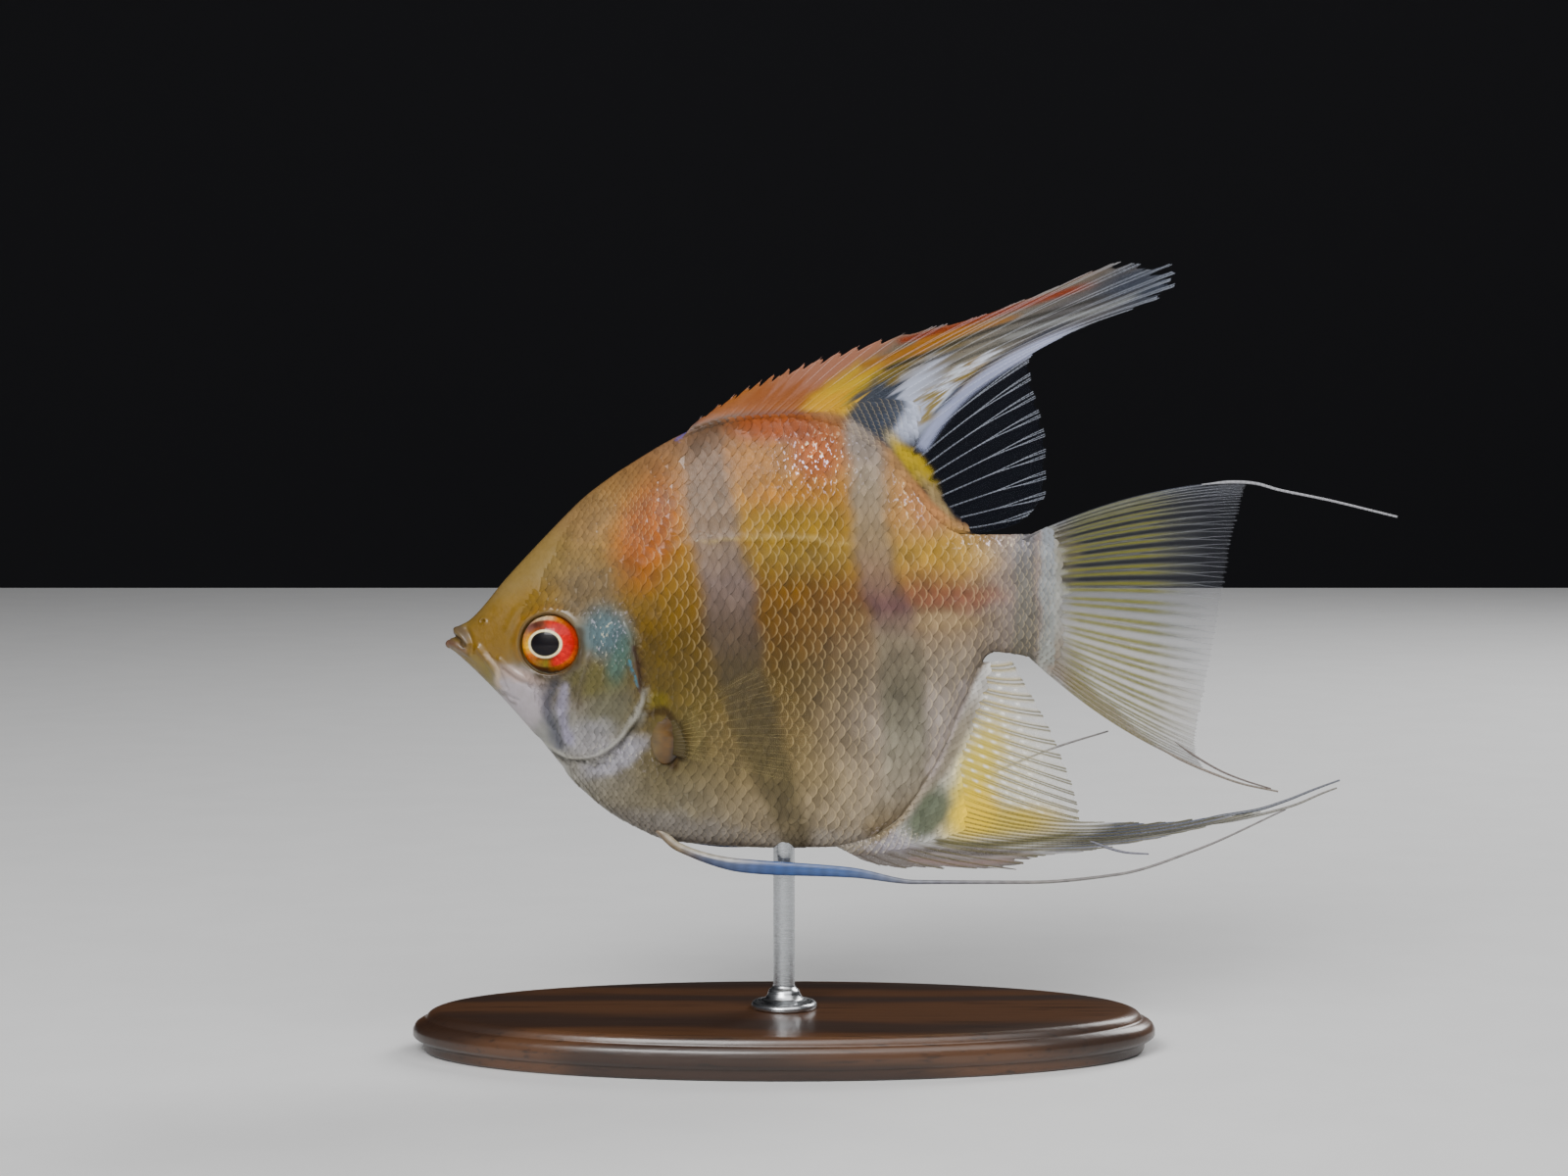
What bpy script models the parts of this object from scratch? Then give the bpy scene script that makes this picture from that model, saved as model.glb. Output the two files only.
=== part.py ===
"""Freshwater angelfish, an adult swimming level towards -X, held on a plain display stand.

Sizes are in millimetres and become metres where a mesh is made. Heights of the fish are
measured from its swimming line, a level line SWIM_HEIGHT above the underside of the stand.
Places in the plane of the body are (X, height). The fish's left side faces -Y.
"""

import math
from bisect import bisect_right

import bmesh
import bpy
from mathutils import Vector

COLLECTION = "freshwater_angelfish"
MM = 0.001
GAP = 0.3  # clear space between neighbouring solids
SWIM_HEIGHT = 65.0
FAR = 60.0  # beyond the body on every side

# The body: its outline and half-width at distances along X.
BACK_LINE = (
    (-46.6, -7.2), (-45.6, -5.4), (-43.9, -4.4), (-38.6, 1.6), (-32.4, 8.2), (-27.3, 13.2),
    (-20.4, 18.0), (-13.6, 21.8), (-8.2, 23.6), (0.0, 24.6), (6.8, 23.6), (14.3, 18.7),
    (21.1, 10.6), (23.9, 8.5), (27.3, 7.5), (35.2, 7.6),
)
BELLY_LINE = (
    (-46.6, -8.5), (-45.7, -9.2), (-40.5, -14.2), (-35.3, -20.0), (-33.0, -23.0),
    (-28.2, -28.4), (-22.5, -32.7), (-15.0, -35.7), (0.8, -36.5), (6.8, -36.4),
    (11.6, -35.4), (15.7, -32.7), (21.1, -25.2), (25.2, -15.7), (27.3, -10.9),
    (28.9, -9.0), (35.2, -9.9),
)
HALF_WIDTH = (
    (-46.6, 0.6), (-45.6, 1.4), (-43.6, 2.2), (-38.2, 3.8), (-32.4, 5.4), (-24.5, 6.6),
    (-16.4, 7.1), (-6.8, 7.0), (2.7, 6.3), (13.6, 4.8), (21.8, 3.6), (28.6, 2.7), (35.2, 1.6),
)
WIDEST_SHARE = 0.48
BACK_POWER = 1.8
BELLY_POWER = 2.2
BACK_ROUNDING = ((-46.6, 0.5), (-25.0, 0.6), (-8.0, 0.7), (20.0, 0.66), (35.2, 0.55))
BELLY_ROUNDING = ((-46.6, 0.5), (-20.0, 0.5), (0.0, 0.56), (35.2, 0.55))
BODY_STATIONS = 34
RING_POINTS = 22
END_CROWDING = 0.1

# Where the body is parted. Each line is smoothed through its points.
HEAD_CUT = (
    (-19.6, 26.0), (-20.2, 10.9), (-19.8, 2.7), (-18.8, -5.5), (-17.4, -13.6), (-17.4, -17.0),
    (-19.8, -20.7), (-23.2, -23.4), (-27.3, -24.8), (-30.7, -24.0), (-33.7, -22.4), (-37.0, -21.8),
)
GILL_CUT = (
    (-21.5, -1.6), (-25.4, -3.0), (-26.9, -6.5), (-27.2, -10.5), (-27.8, -14.3), (-28.9, -18.4),
    (-31.3, -21.1), (-35.0, -24.5),
)
GILL_DEPTH = 4.2
JAW_CUT = ((-52.0, -6.6), (-45.6, -6.9), (-43.4, -8.4), (-40.9, -11.2), (-39.4, -13.4), (-39.9, -20.0))
TAIL_CUT = 27.5

# The eyes, as seen and as deep as they sit.
EYE_PLACE = (-32.4, -7.4)
EYE_SIDE = 3.6
EYE_RADII = (4.15, 2.75, 4.15)

# Fins: each key ray is (share of the fin, root, bend, tip), and the rest lie between them.
DORSAL_RAYS = (
    (0.00, (-13.6, 21.4), (-13.1, 21.9), (-12.5, 23.2)),
    (0.08, (-9.8, 22.9), (-8.2, 24.5), (-5.5, 27.7)),
    (0.16, (-5.7, 23.7), (-3.1, 26.3), (0.0, 30.2)),
    (0.32, (1.6, 24.0), (6.8, 28.6), (17.0, 35.5)),
    (0.36, (3.4, 23.8), (9.5, 29.1), (26.0, 37.4)),
    (0.40, (5.2, 23.4), (12.3, 29.8), (35.4, 40.8)),
    (0.46, (7.9, 22.6), (17.0, 31.3), (47.7, 45.3)),
    (0.52, (10.4, 21.4), (21.8, 31.6), (55.5, 44.0)),
    (0.58, (12.3, 20.2), (26.5, 32.8), (52.5, 40.5)),
    (0.64, (14.0, 18.7), (25.0, 29.4), (41.6, 36.3)),
    (0.70, (15.7, 16.9), (24.5, 25.4), (34.0, 31.6)),
    (0.86, (19.6, 12.4), (27.9, 16.6), (36.3, 19.8)),
    (0.94, (22.4, 9.6), (28.8, 11.2), (36.4, 13.4)),
    (1.00, (24.6, 7.6), (29.0, 7.2), (33.2, 9.3)),
)
ANAL_RAYS = (
    (0.00, (7.1, -36.0), (9.3, -37.0), (11.6, -38.6)),
    (0.08, (9.3, -36.0), (12.9, -38.0), (17.7, -39.5)),
    (0.24, (13.4, -35.0), (19.8, -37.9), (32.7, -39.5)),
    (0.32, (15.0, -34.1), (22.5, -37.3), (39.5, -37.6)),
    (0.38, (16.2, -33.0), (30.0, -38.5), (54.5, -34.6)),
    (0.44, (17.3, -31.8), (38.0, -39.4), (67.0, -31.2)),
    (0.50, (18.4, -30.0), (36.0, -37.9), (60.0, -31.9)),
    (0.56, (19.5, -28.1), (33.0, -35.6), (50.5, -32.7)),
    (0.62, (20.6, -26.2), (30.6, -31.4), (41.4, -32.7)),
    (0.70, (21.8, -23.2), (31.3, -27.3), (41.0, -30.3)),
    (0.86, (24.4, -16.9), (31.1, -19.8), (37.5, -20.7)),
    (1.00, (27.2, -10.4), (29.7, -10.6), (31.6, -9.8)),
)
CAUDAL_RAYS = (
    (0.00, (33.8, 7.2), (47.7, 14.3), (64.3, 15.0)),
    (0.08, (34.3, 6.6), (47.7, 12.3), (63.7, 12.9)),
    (0.25, (35.2, 4.1), (49.1, 7.1), (62.3, 7.1)),
    (0.50, (35.7, -1.0), (49.1, -1.3), (60.7, -2.3)),
    (0.75, (35.7, -6.3), (47.7, -11.6), (58.7, -13.6)),
    (0.92, (34.9, -9.0), (45.0, -17.0), (57.5, -22.5)),
    (1.00, (34.1, -9.6), (44.3, -19.8), (58.9, -25.6)),
)
PECTORAL_RAYS = (
    (0.00, (-15.8, -17.4), (-10.2, -13.6), (-3.0, -9.8)),
    (0.25, (-15.0, -18.7), (-7.5, -15.3), (1.6, -13.6)),
    (0.50, (-14.4, -20.0), (-6.1, -18.8), (4.4, -18.8)),
    (0.75, (-14.0, -21.4), (-6.1, -21.8), (3.3, -22.6)),
    (1.00, (-14.0, -22.9), (-7.5, -24.5), (0.8, -25.9)),
)
RAY_THICKNESS = 0.8
WEB_THICKNESS = 0.5
ROOT_SWELL = 1.5
ROOT_SWELL_REACH = 3.2
ROOT_INSET = 1.6
ROOT_CROWDING = 1.15
SCALLOP = 0.6
SCALLOP_SHARE = 0.25
MEDIAN_FINS = {
    "dorsal_fin": {"rays": DORSAL_RAYS, "count": 18, "steps": 6},
    "anal_fin": {"rays": ANAL_RAYS, "count": 17, "steps": 7},
    "caudal_fin": {"rays": CAUDAL_RAYS, "count": 13, "steps": 5},
}
PECTORAL_COUNT = 7
PECTORAL_STEPS = 4
PECTORAL_SIDE = 5.9
PECTORAL_ANGLE = math.radians(18)
PECTORAL_BASE = ((-16.3, -20.2), 6.1, (2.3, 1.3, 3.9))

# Trailing ends of the outermost rays: the fin, the line followed, and radii from root to end.
FILAMENTS = (
    ("caudal_fin", ((62.0, 14.7), (64.8, 14.7), (68.5, 13.7), (76.0, 12.2), (85.3, 9.9)), (0.5, 0.27)),
    ("caudal_fin", ((56.0, -22.9), (60.0, -25.8), (64.0, -27.4), (69.0, -28.4)), (0.6, 0.27)),
    ("anal_fin", ((59.5, -33.0), (64.5, -31.9), (71.0, -29.6), (77.8, -27.0)), (0.5, 0.27)),
)

# Pelvic fins, one to a side: points (X, height, distance out) of a feeler that starts as a blade.
PELVIC_PATHS = {
    "left": (
        (-17.5, -33.6, 1.6), (-14.6, -36.0, 2.4), (-5.9, -38.4, 3.5), (9.3, -39.3, 4.0),
        (18.4, -40.6, 4.2), (34.1, -40.6, 4.4), (46.3, -39.5, 4.4), (57.2, -36.1, 4.2),
        (69.5, -30.5, 4.0),
    ),
    "right": (
        (-17.5, -33.6, 1.6), (-13.6, -35.4, 2.6), (-5.5, -36.0, 4.6), (6.8, -34.1, 6.2),
        (19.1, -30.7, 6.4), (28.6, -26.9, 6.0), (38.4, -22.9, 5.6), (45.7, -20.6, 5.4),
    ),
}
PELVIC_DEPTH = ((0.0, 1.3), (0.05, 1.2), (0.16, 1.9), (0.3, 1.4), (0.42, 0.62), (1.0, 0.55))
PELVIC_THICKNESS = ((0.0, 1.3), (0.08, 0.9), (0.3, 0.7), (0.42, 0.6), (1.0, 0.55))
PELVIC_STATIONS = 26
PELVIC_SIDES = 6

# The stand.
BASE_SIZE = (104.0, 46.0, 6.0)
BASE_SIDES = 44
BASE_BEVEL = 1.2
ROD_X = 0.0
ROD_RADIUS = 1.5
ROD_STEPS = 16
FLANGE_RADIUS = 4.6
FLANGE_HEIGHT = 1.6
SOCKET_DEPTH = 4.5
BELLY_HOLE_DEPTH = 8.0

# Colour, roughness and metallic value of each kind of part.
FINISHES = {
    "head": ((0.36, 0.30, 0.14), 0.42, 0.0),
    "lower_jaw": ((0.42, 0.38, 0.28), 0.42, 0.0),
    "gill_cover": ((0.30, 0.38, 0.36), 0.35, 0.1),
    "trunk": ((0.40, 0.24, 0.08), 0.40, 0.0),
    "tail_base": ((0.36, 0.25, 0.20), 0.40, 0.0),
    "dorsal_fin": ((0.60, 0.28, 0.12), 0.35, 0.0),
    "anal_fin": ((0.62, 0.58, 0.34), 0.35, 0.0),
    "caudal_fin": ((0.60, 0.60, 0.55), 0.35, 0.0),
    "pectoral_fin": ((0.62, 0.60, 0.52), 0.35, 0.0),
    "pelvic_fin": ((0.32, 0.42, 0.62), 0.35, 0.0),
    "eye": ((0.60, 0.05, 0.01), 0.08, 0.0),
    "stand_base": ((0.09, 0.045, 0.02), 0.45, 0.0),
    "stand_rod": ((0.55, 0.55, 0.56), 0.3, 1.0),
}


def through(points):
    """A function that passes smoothly through (place, value) points and never overshoots them."""
    places = [place for place, _ in points]
    values = [value for _, value in points]
    spans = [b - a for a, b in zip(places, places[1:])]
    slopes = [(b - a) / span for a, b, span in zip(values, values[1:], spans)]
    tangents = [slopes[0]]
    for before, after in zip(slopes, slopes[1:]):
        rising = before * after > 0
        tangents.append(2 * before * after / (before + after) if rising else 0.0)
    tangents.append(slopes[-1])

    def value_at(place):
        i = min(max(bisect_right(places, place) - 1, 0), len(spans) - 1)
        t = min(max((place - places[i]) / spans[i], 0.0), 1.0)
        start = (1 + 2 * t) * (1 - t) ** 2 * values[i] + t * (1 - t) ** 2 * spans[i] * tangents[i]
        end = t * t * (3 - 2 * t) * values[i + 1] - t * t * (1 - t) * spans[i] * tangents[i + 1]
        return start + end

    return value_at


def smooth_path(points, per_span):
    """Points along a Catmull-Rom curve, per_span to each stretch between two points."""
    knots = [Vector(p) for p in points]
    knots = [2 * knots[0] - knots[1], *knots, 2 * knots[-1] - knots[-2]]
    path = []
    for a, b, c, d in zip(knots, knots[1:], knots[2:], knots[3:]):
        for step in range(per_span):
            t = step / per_span
            path.append(
                0.5 * (2 * b + (c - a) * t + (2 * a - 5 * b + 4 * c - d) * t**2
                       + (3 * b - a - 3 * c + d) * t**3)
            )
    return [*path, knots[-2]]


def at(x, y, height):
    """A place on the fish, in metres above the stand's underside."""
    return Vector((x, y, height + SWIM_HEIGHT)) * MM


def finish(kind):
    colour, roughness, metallic = FINISHES[kind]
    material = bpy.data.materials.get(kind) or bpy.data.materials.new(kind)
    material.use_nodes = True
    shader = material.node_tree.nodes["Principled BSDF"]
    shader.inputs["Base Color"].default_value = (*colour, 1.0)
    shader.inputs["Roughness"].default_value = roughness
    shader.inputs["Metallic"].default_value = metallic
    material.diffuse_color = (*colour, 1.0)
    return material


def add_object(name, mesh, collection, kind=None):
    item = bpy.data.objects.new(name, mesh)
    collection.objects.link(item)
    if kind:
        item.data.materials.append(finish(kind))
    else:
        item.hide_render = True
        item.display_type = "WIRE"
    return item


def mesh_from(name, shape):
    """The mesh of a bmesh, closed and facing out."""
    shape.normal_update()
    bmesh.ops.recalc_face_normals(shape, faces=shape.faces)
    mesh = bpy.data.meshes.new(name)
    shape.to_mesh(mesh)
    shape.free()
    mesh.shade_smooth()
    mesh.set_sharp_from_angle(angle=math.radians(50))
    return mesh


def cut(item, cutter, operation="DIFFERENCE"):
    modifier = item.modifiers.new(f"{operation.lower()} {cutter.name}", "BOOLEAN")
    modifier.operation = operation
    modifier.object = cutter


def loft(name, rings, grow=0.0):
    """A closed skin through rings of equal count, each vertex moved out by grow."""
    shape = bmesh.new()
    loops = [[shape.verts.new(place) for place in ring] for ring in rings]
    for here, there in zip(loops, loops[1:]):
        for i in range(len(here)):
            j = (i + 1) % len(here)
            shape.faces.new((here[i], here[j], there[j], there[i]))
    shape.faces.new(loops[0])
    shape.faces.new(loops[-1])
    shape.normal_update()
    bmesh.ops.recalc_face_normals(shape, faces=shape.faces)
    for vertex in shape.verts:
        vertex.co += vertex.normal * grow * MM
    return mesh_from(name, shape)


def body_rings():
    """Cross-sections from snout to tail: widest near the middle, a rounder belly than back."""
    back, belly, half_width = through(BACK_LINE), through(BELLY_LINE), through(HALF_WIDTH)
    back_rounding, belly_rounding = through(BACK_ROUNDING), through(BELLY_ROUNDING)
    start, length = BACK_LINE[0][0], BACK_LINE[-1][0] - BACK_LINE[0][0]
    rings = []
    for station in range(BODY_STATIONS):
        share = station / (BODY_STATIONS - 1)
        x = start + length * (share - END_CROWDING * math.sin(2 * math.pi * share))
        low, high, width = belly(x), back(x), half_width(x)
        middle = low + WIDEST_SHARE * (high - low)
        ring = []
        for i in range(RING_POINTS):
            turn = 2 * math.pi * i / RING_POINTS
            rise = math.sin(turn)
            power = BACK_POWER if rise > 0 else BELLY_POWER
            rounding = back_rounding(x) if rise > 0 else belly_rounding(x)
            reach = max(1 - abs(rise) ** power, 0.0) ** rounding
            height = middle + rise * (high - middle if rise > 0 else middle - low)
            ring.append(at(x, math.copysign(width * reach, math.cos(turn)), height))
        rings.append(ring)
    return rings


def offset_outline(outline, by):
    """A closed outline moved outwards along the average of its neighbouring edges' normals."""
    area = sum(a.x * b.y - b.x * a.y for a, b in zip(outline, outline[1:] + outline[:1]))
    side = math.copysign(1.0, area)
    moved = []
    for before, here, after in zip(outline[-1:] + outline[:-1], outline, outline[1:] + outline[:1]):
        along = (here - before).normalized() + (after - here).normalized()
        out = Vector((along.y, -along.x)).normalized() * side
        moved.append(here + out * by)
    return moved


def prism(name, outline, collection, sides=(-FAR, FAR), grow=0.0):
    """A cutter: an outline in the fish's plane, drawn from one side of it to the other."""
    near, far = sides[0] - grow, sides[1] + grow
    shape = bmesh.new()
    corners = [shape.verts.new(at(p.x, near, p.y)) for p in offset_outline(outline, grow)]
    face = shape.faces.new(corners)
    made = bmesh.ops.extrude_face_region(shape, geom=[face])
    moved = [item for item in made["geom"] if isinstance(item, bmesh.types.BMVert)]
    bmesh.ops.translate(shape, verts=moved, vec=(0, (far - near) * MM, 0))
    return add_object(name, mesh_from(name, shape), collection)


def ellipsoid(name, centre, radii, collection, grow=0.0, kind=None, segments=16, rings=10):
    """A ball, flattened to three radii and turned so that its poles point to the sides."""
    shape = bmesh.new()
    bmesh.ops.create_uvsphere(shape, u_segments=segments, v_segments=rings, radius=1.0)
    for vertex in shape.verts:
        along, up, out = vertex.co
        vertex.co = centre + MM * Vector((along * (radii[0] + grow), out * (radii[1] + grow),
                                          up * (radii[2] + grow)))
    return add_object(name, mesh_from(name, shape), collection, kind)


def cylinder(name, x, bottom, top, radius, collection, segments=24):
    """An upright cutter, with heights above the stand's underside."""
    shape = bmesh.new()
    bmesh.ops.create_cone(shape, cap_ends=True, segments=segments, radius1=radius * MM,
                          radius2=radius * MM, depth=(top - bottom) * MM)
    bmesh.ops.translate(shape, verts=shape.verts, vec=(x * MM, 0, (top + bottom) / 2 * MM))
    return add_object(name, mesh_from(name, shape), collection)


def tapered_tube(name, path, radii, collection):
    """A trailing ray: a curve with filled caps, made a mesh so that it can be joined."""
    curve = bpy.data.curves.new(name, "CURVE")
    curve.dimensions = "3D"
    curve.bevel_depth = MM
    curve.bevel_resolution = 1
    curve.use_fill_caps = True
    line = curve.splines.new("POLY")
    line.points.add(len(path) - 1)
    for i, (point, place) in enumerate(zip(line.points, path)):
        share = i / (len(path) - 1)
        point.co = (*at(place.x, 0, place.y), 1.0)
        point.radius = radii[0] + (radii[1] - radii[0]) * share
    guide = bpy.data.objects.new(f"{name}_curve", curve)
    collection.objects.link(guide)
    bpy.context.view_layer.update()
    mesh = bpy.data.meshes.new_from_object(guide.evaluated_get(bpy.context.evaluated_depsgraph_get()))
    bpy.data.objects.remove(guide)
    shape = bmesh.new()
    shape.from_mesh(mesh)
    bmesh.ops.remove_doubles(shape, verts=shape.verts, dist=0.00001)
    return add_object(name, mesh_from(name, shape), collection)


def ray_reader(rays):
    """A function that gives root, bend and tip of the ray at any share of a fin."""
    shares = [ray[0] for ray in rays]
    readers = [
        [through(list(zip(shares, [ray[part][axis] for ray in rays]))) for axis in (0, 1)]
        for part in (1, 2, 3)
    ]
    return lambda share: [Vector([read(share) for read in pair]) for pair in readers]


def fin(name, kind, rays, count, steps, collection, lean=lambda x: 0.0):
    """A fin: an open fan of rays with webs between, thickened by Solidify.

    Columns are rays and webs by turns. Webs are thinner and end short of the rays' tips by
    a share of the width there, and all swell towards the root. lean gives how far the fan
    stands out sideways at each x.
    """
    shape = bmesh.new()
    weights = []
    columns = []
    ray_at = ray_reader(rays)
    thickest = RAY_THICKNESS + ROOT_SWELL
    for column in range(2 * count - 1):
        is_web = column % 2 == 1
        root, bend, tip = ray_at(column / (2 * count - 2))
        root -= (bend - root).normalized() * ROOT_INSET
        if is_web:
            before, after = (ray_at((column + side) / (2 * count - 2))[2] for side in (-1, 1))
            along = (tip - bend).normalized()
            tip -= along * min(SCALLOP, SCALLOP_SHARE * abs(along.cross(after - before)))
        points = []
        for step in range(steps + 1):
            t = (step / steps) ** ROOT_CROWDING
            place = root * (1 - t) ** 2 + bend * 2 * t * (1 - t) + tip * t * t
            beyond = max((place - root).length - ROOT_INSET, 0.0)
            own = WEB_THICKNESS if is_web else RAY_THICKNESS + (WEB_THICKNESS - RAY_THICKNESS) * t
            weights.append((own + ROOT_SWELL * math.exp(-beyond / ROOT_SWELL_REACH)) / thickest)
            points.append(shape.verts.new(at(place.x, lean(place.x), place.y)))
        columns.append(points)
    for here, there in zip(columns, columns[1:]):
        for i in range(steps):
            shape.faces.new((here[i], here[i + 1], there[i + 1], there[i]))
    bmesh.ops.triangulate(shape, faces=shape.faces, quad_method="SHORT_EDGE")
    item = add_object(name, mesh_from(name, shape), collection, kind)
    group = item.vertex_groups.new(name="thickness")
    for index, weight in enumerate(weights):
        group.add([index], min(weight, 1.0), "REPLACE")
    solid = item.modifiers.new("membrane thickness", "SOLIDIFY")
    solid.thickness = thickest * MM
    solid.offset = 0.0
    solid.vertex_group = group.name
    return item


def pelvic_fin(side, sign, collection):
    """A blade at the root that narrows into a long round feeler."""
    path = smooth_path([(x, sign * out, height) for x, height, out in PELVIC_PATHS[side]], 8)
    lengths = [0.0]
    for a, b in zip(path, path[1:]):
        lengths.append(lengths[-1] + (b - a).length)
    follow = [through([(length / lengths[-1], p[axis]) for length, p in zip(lengths, path)])
              for axis in range(3)]
    depth, thickness = through(PELVIC_DEPTH), through(PELVIC_THICKNESS)
    places = [Vector([read(i / (PELVIC_STATIONS - 1)) for read in follow])
              for i in range(PELVIC_STATIONS)]
    rings = []
    for i, place in enumerate(places):
        along = (places[min(i + 1, len(places) - 1)] - places[max(i - 1, 0)]).normalized()
        across = along.cross(Vector((0, 0, 1))).normalized()
        up = across.cross(along)
        share = i / (PELVIC_STATIONS - 1)
        ring = []
        for corner in range(PELVIC_SIDES):
            turn = 2 * math.pi * corner / PELVIC_SIDES
            point = (place + up * math.sin(turn) * depth(share) / 2
                     + across * math.cos(turn) * thickness(share) / 2)
            ring.append(at(*point))
        rings.append(ring)
    name = f"pelvic_fin_{side}"
    return add_object(name, loft(name, rings), collection, "pelvic_fin")


def add_body(parts, cutters):
    """Head, jaw, gill covers, trunk and tail base: one body parted by thin cuts."""
    corners = [Vector(p) for p in ((-FAR, -FAR), (-FAR, FAR), (HEAD_CUT[0][0], FAR))]
    head_outline = smooth_path(HEAD_CUT, 3) + corners
    gill_outline = smooth_path(GILL_CUT, 3) + [Vector((-FAR / 2, -FAR)), Vector((0, -FAR)),
                                               Vector((0, GILL_CUT[0][1]))]
    jaw_outline = smooth_path(JAW_CUT, 2) + [Vector((JAW_CUT[0][0], JAW_CUT[-1][1]))]
    tail_outline = [Vector(p) for p in ((TAIL_CUT, -FAR), (FAR, -FAR), (FAR, FAR), (TAIL_CUT, FAR))]
    half = GAP / 2
    inner, outer = {}, {}
    for name, outline in (("head", head_outline), ("jaw", jaw_outline), ("tail", tail_outline)):
        inner[name] = prism(f"{name}_inside", outline, cutters, grow=-half)
        outer[name] = prism(f"{name}_outside", outline, cutters, grow=half)
    for side, sides in (("left", (-FAR, -GILL_DEPTH)), ("right", (GILL_DEPTH, FAR))):
        inner[side] = prism(f"gill_{side}_inside", gill_outline, cutters, sides, -half)
        outer[side] = prism(f"gill_{side}_outside", gill_outline, cutters, sides, half)
    rings = body_rings()

    def flesh(name, kind, within=(), without=()):
        part = add_object(name, loft(name, rings), parts, kind)
        for cutter in within:
            cut(part, cutter, "INTERSECT")
        for cutter in without:
            cut(part, cutter)
        return part

    sockets = []
    for side, sign in (("left", -1), ("right", 1)):
        centre = at(EYE_PLACE[0], sign * EYE_SIDE, EYE_PLACE[1])
        ellipsoid(f"eye_{side}", centre, EYE_RADII, parts, kind="eye")
        sockets.append(ellipsoid(f"socket_{side}", centre, EYE_RADII, cutters, grow=GAP))
    belly = SWIM_HEIGHT + through(BELLY_LINE)(ROD_X)
    hole = cylinder("belly_hole", ROD_X, belly - ROD_RADIUS, belly + BELLY_HOLE_DEPTH,
                    ROD_RADIUS + GAP, cutters)
    flesh("head", "head", [inner["head"]], [outer["left"], outer["right"], outer["jaw"], *sockets])
    flesh("lower_jaw", "lower_jaw", [inner["jaw"]])
    for side in ("left", "right"):
        flesh(f"gill_cover_{side}", "gill_cover", [inner["head"], inner[side]])
    flesh("trunk", "trunk", without=[outer["head"], outer["tail"], hole])
    flesh("tail_base", "tail_base", [inner["tail"]])
    return add_object("body_clearance", loft("body_clearance", rings, GAP), cutters)


def add_fins(parts, cutters, body_clearance):
    """Every fin starts inside the body and is trimmed just clear of its surface."""
    for name, values in MEDIAN_FINS.items():
        item = fin(name, name, values["rays"], values["count"], values["steps"], parts)
        ends = [entry for entry in FILAMENTS if entry[0] == name]
        for number, (_, line, radii) in enumerate(ends, 1):
            path = smooth_path(line, 3)
            cut(item, tapered_tube(f"{name}_end_{number}", path, radii, cutters), "UNION")
        cut(item, body_clearance)
    (base_x, base_height), base_side, base_radii = PECTORAL_BASE
    root_x = PECTORAL_RAYS[0][1][0]
    for side, sign in (("left", -1), ("right", 1)):
        item = fin(
            f"pectoral_fin_{side}", "pectoral_fin", PECTORAL_RAYS, PECTORAL_COUNT, PECTORAL_STEPS,
            parts,
            lambda x, sign=sign: sign * (PECTORAL_SIDE + (x - root_x) * math.tan(PECTORAL_ANGLE)),
        )
        lobe = ellipsoid(f"pectoral_lobe_{side}", at(base_x, sign * base_side, base_height),
                         base_radii, cutters, segments=12, rings=8)
        cut(item, lobe, "UNION")
        cut(item, body_clearance)
        cut(pelvic_fin(side, sign, parts), body_clearance)


def add_stand(parts, cutters):
    """An oval plate with a rod that rises from a flange into the belly."""
    length, width, thick = BASE_SIZE
    shape = bmesh.new()
    bmesh.ops.create_cone(shape, cap_ends=True, segments=BASE_SIDES, radius1=1, radius2=1, depth=1)
    bmesh.ops.scale(shape, verts=shape.verts, vec=(length / 2 * MM, width / 2 * MM, thick * MM))
    bmesh.ops.translate(shape, verts=shape.verts, vec=(0, 0, thick / 2 * MM))
    base = add_object("stand_base", mesh_from("stand_base", shape), parts, "stand_base")
    edge = base.modifiers.new("rounded rim", "BEVEL")
    edge.width = BASE_BEVEL * MM
    edge.segments = 2
    edge.limit_method = "ANGLE"
    edge.angle_limit = math.radians(60)
    socket_bottom = thick - SOCKET_DEPTH
    cut(base, cylinder("base_socket", ROD_X, socket_bottom, thick + GAP, ROD_RADIUS + GAP, cutters))
    top = SWIM_HEIGHT + through(BELLY_LINE)(ROD_X) + BELLY_HOLE_DEPTH - GAP
    flange = thick + GAP
    profile = (
        (0, top), (ROD_RADIUS - GAP, top), (ROD_RADIUS, top - GAP),
        (ROD_RADIUS, flange + 2 * FLANGE_HEIGHT), (ROD_RADIUS + GAP, flange + FLANGE_HEIGHT + GAP),
        (FLANGE_RADIUS - GAP, flange + FLANGE_HEIGHT), (FLANGE_RADIUS, flange + FLANGE_HEIGHT - GAP),
        (FLANGE_RADIUS, flange), (ROD_RADIUS, flange), (ROD_RADIUS, socket_bottom + GAP),
        (0, socket_bottom + GAP),
    )
    outline = bpy.data.meshes.new("stand_rod")
    edges = [(i, i + 1) for i in range(len(profile) - 1)]
    outline.from_pydata([Vector((r, 0, z)) * MM for r, z in profile], edges, [])
    rod = add_object("stand_rod", outline, parts, "stand_rod")
    rod.location.x = ROD_X * MM
    turned = rod.modifiers.new("turned profile", "SCREW")
    turned.steps = turned.render_steps = ROD_STEPS
    turned.use_merge_vertices = True
    turned.merge_threshold = 0.0001


def main():
    for item in list(bpy.data.objects):
        bpy.data.objects.remove(item)
    parts = bpy.data.collections.new(COLLECTION)
    cutters = bpy.data.collections.new(f"{COLLECTION}_cutters")
    for collection in (parts, cutters):
        bpy.context.scene.collection.children.link(collection)
    add_fins(parts, cutters, add_body(parts, cutters))
    add_stand(parts, cutters)


main()
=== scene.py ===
import math

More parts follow.
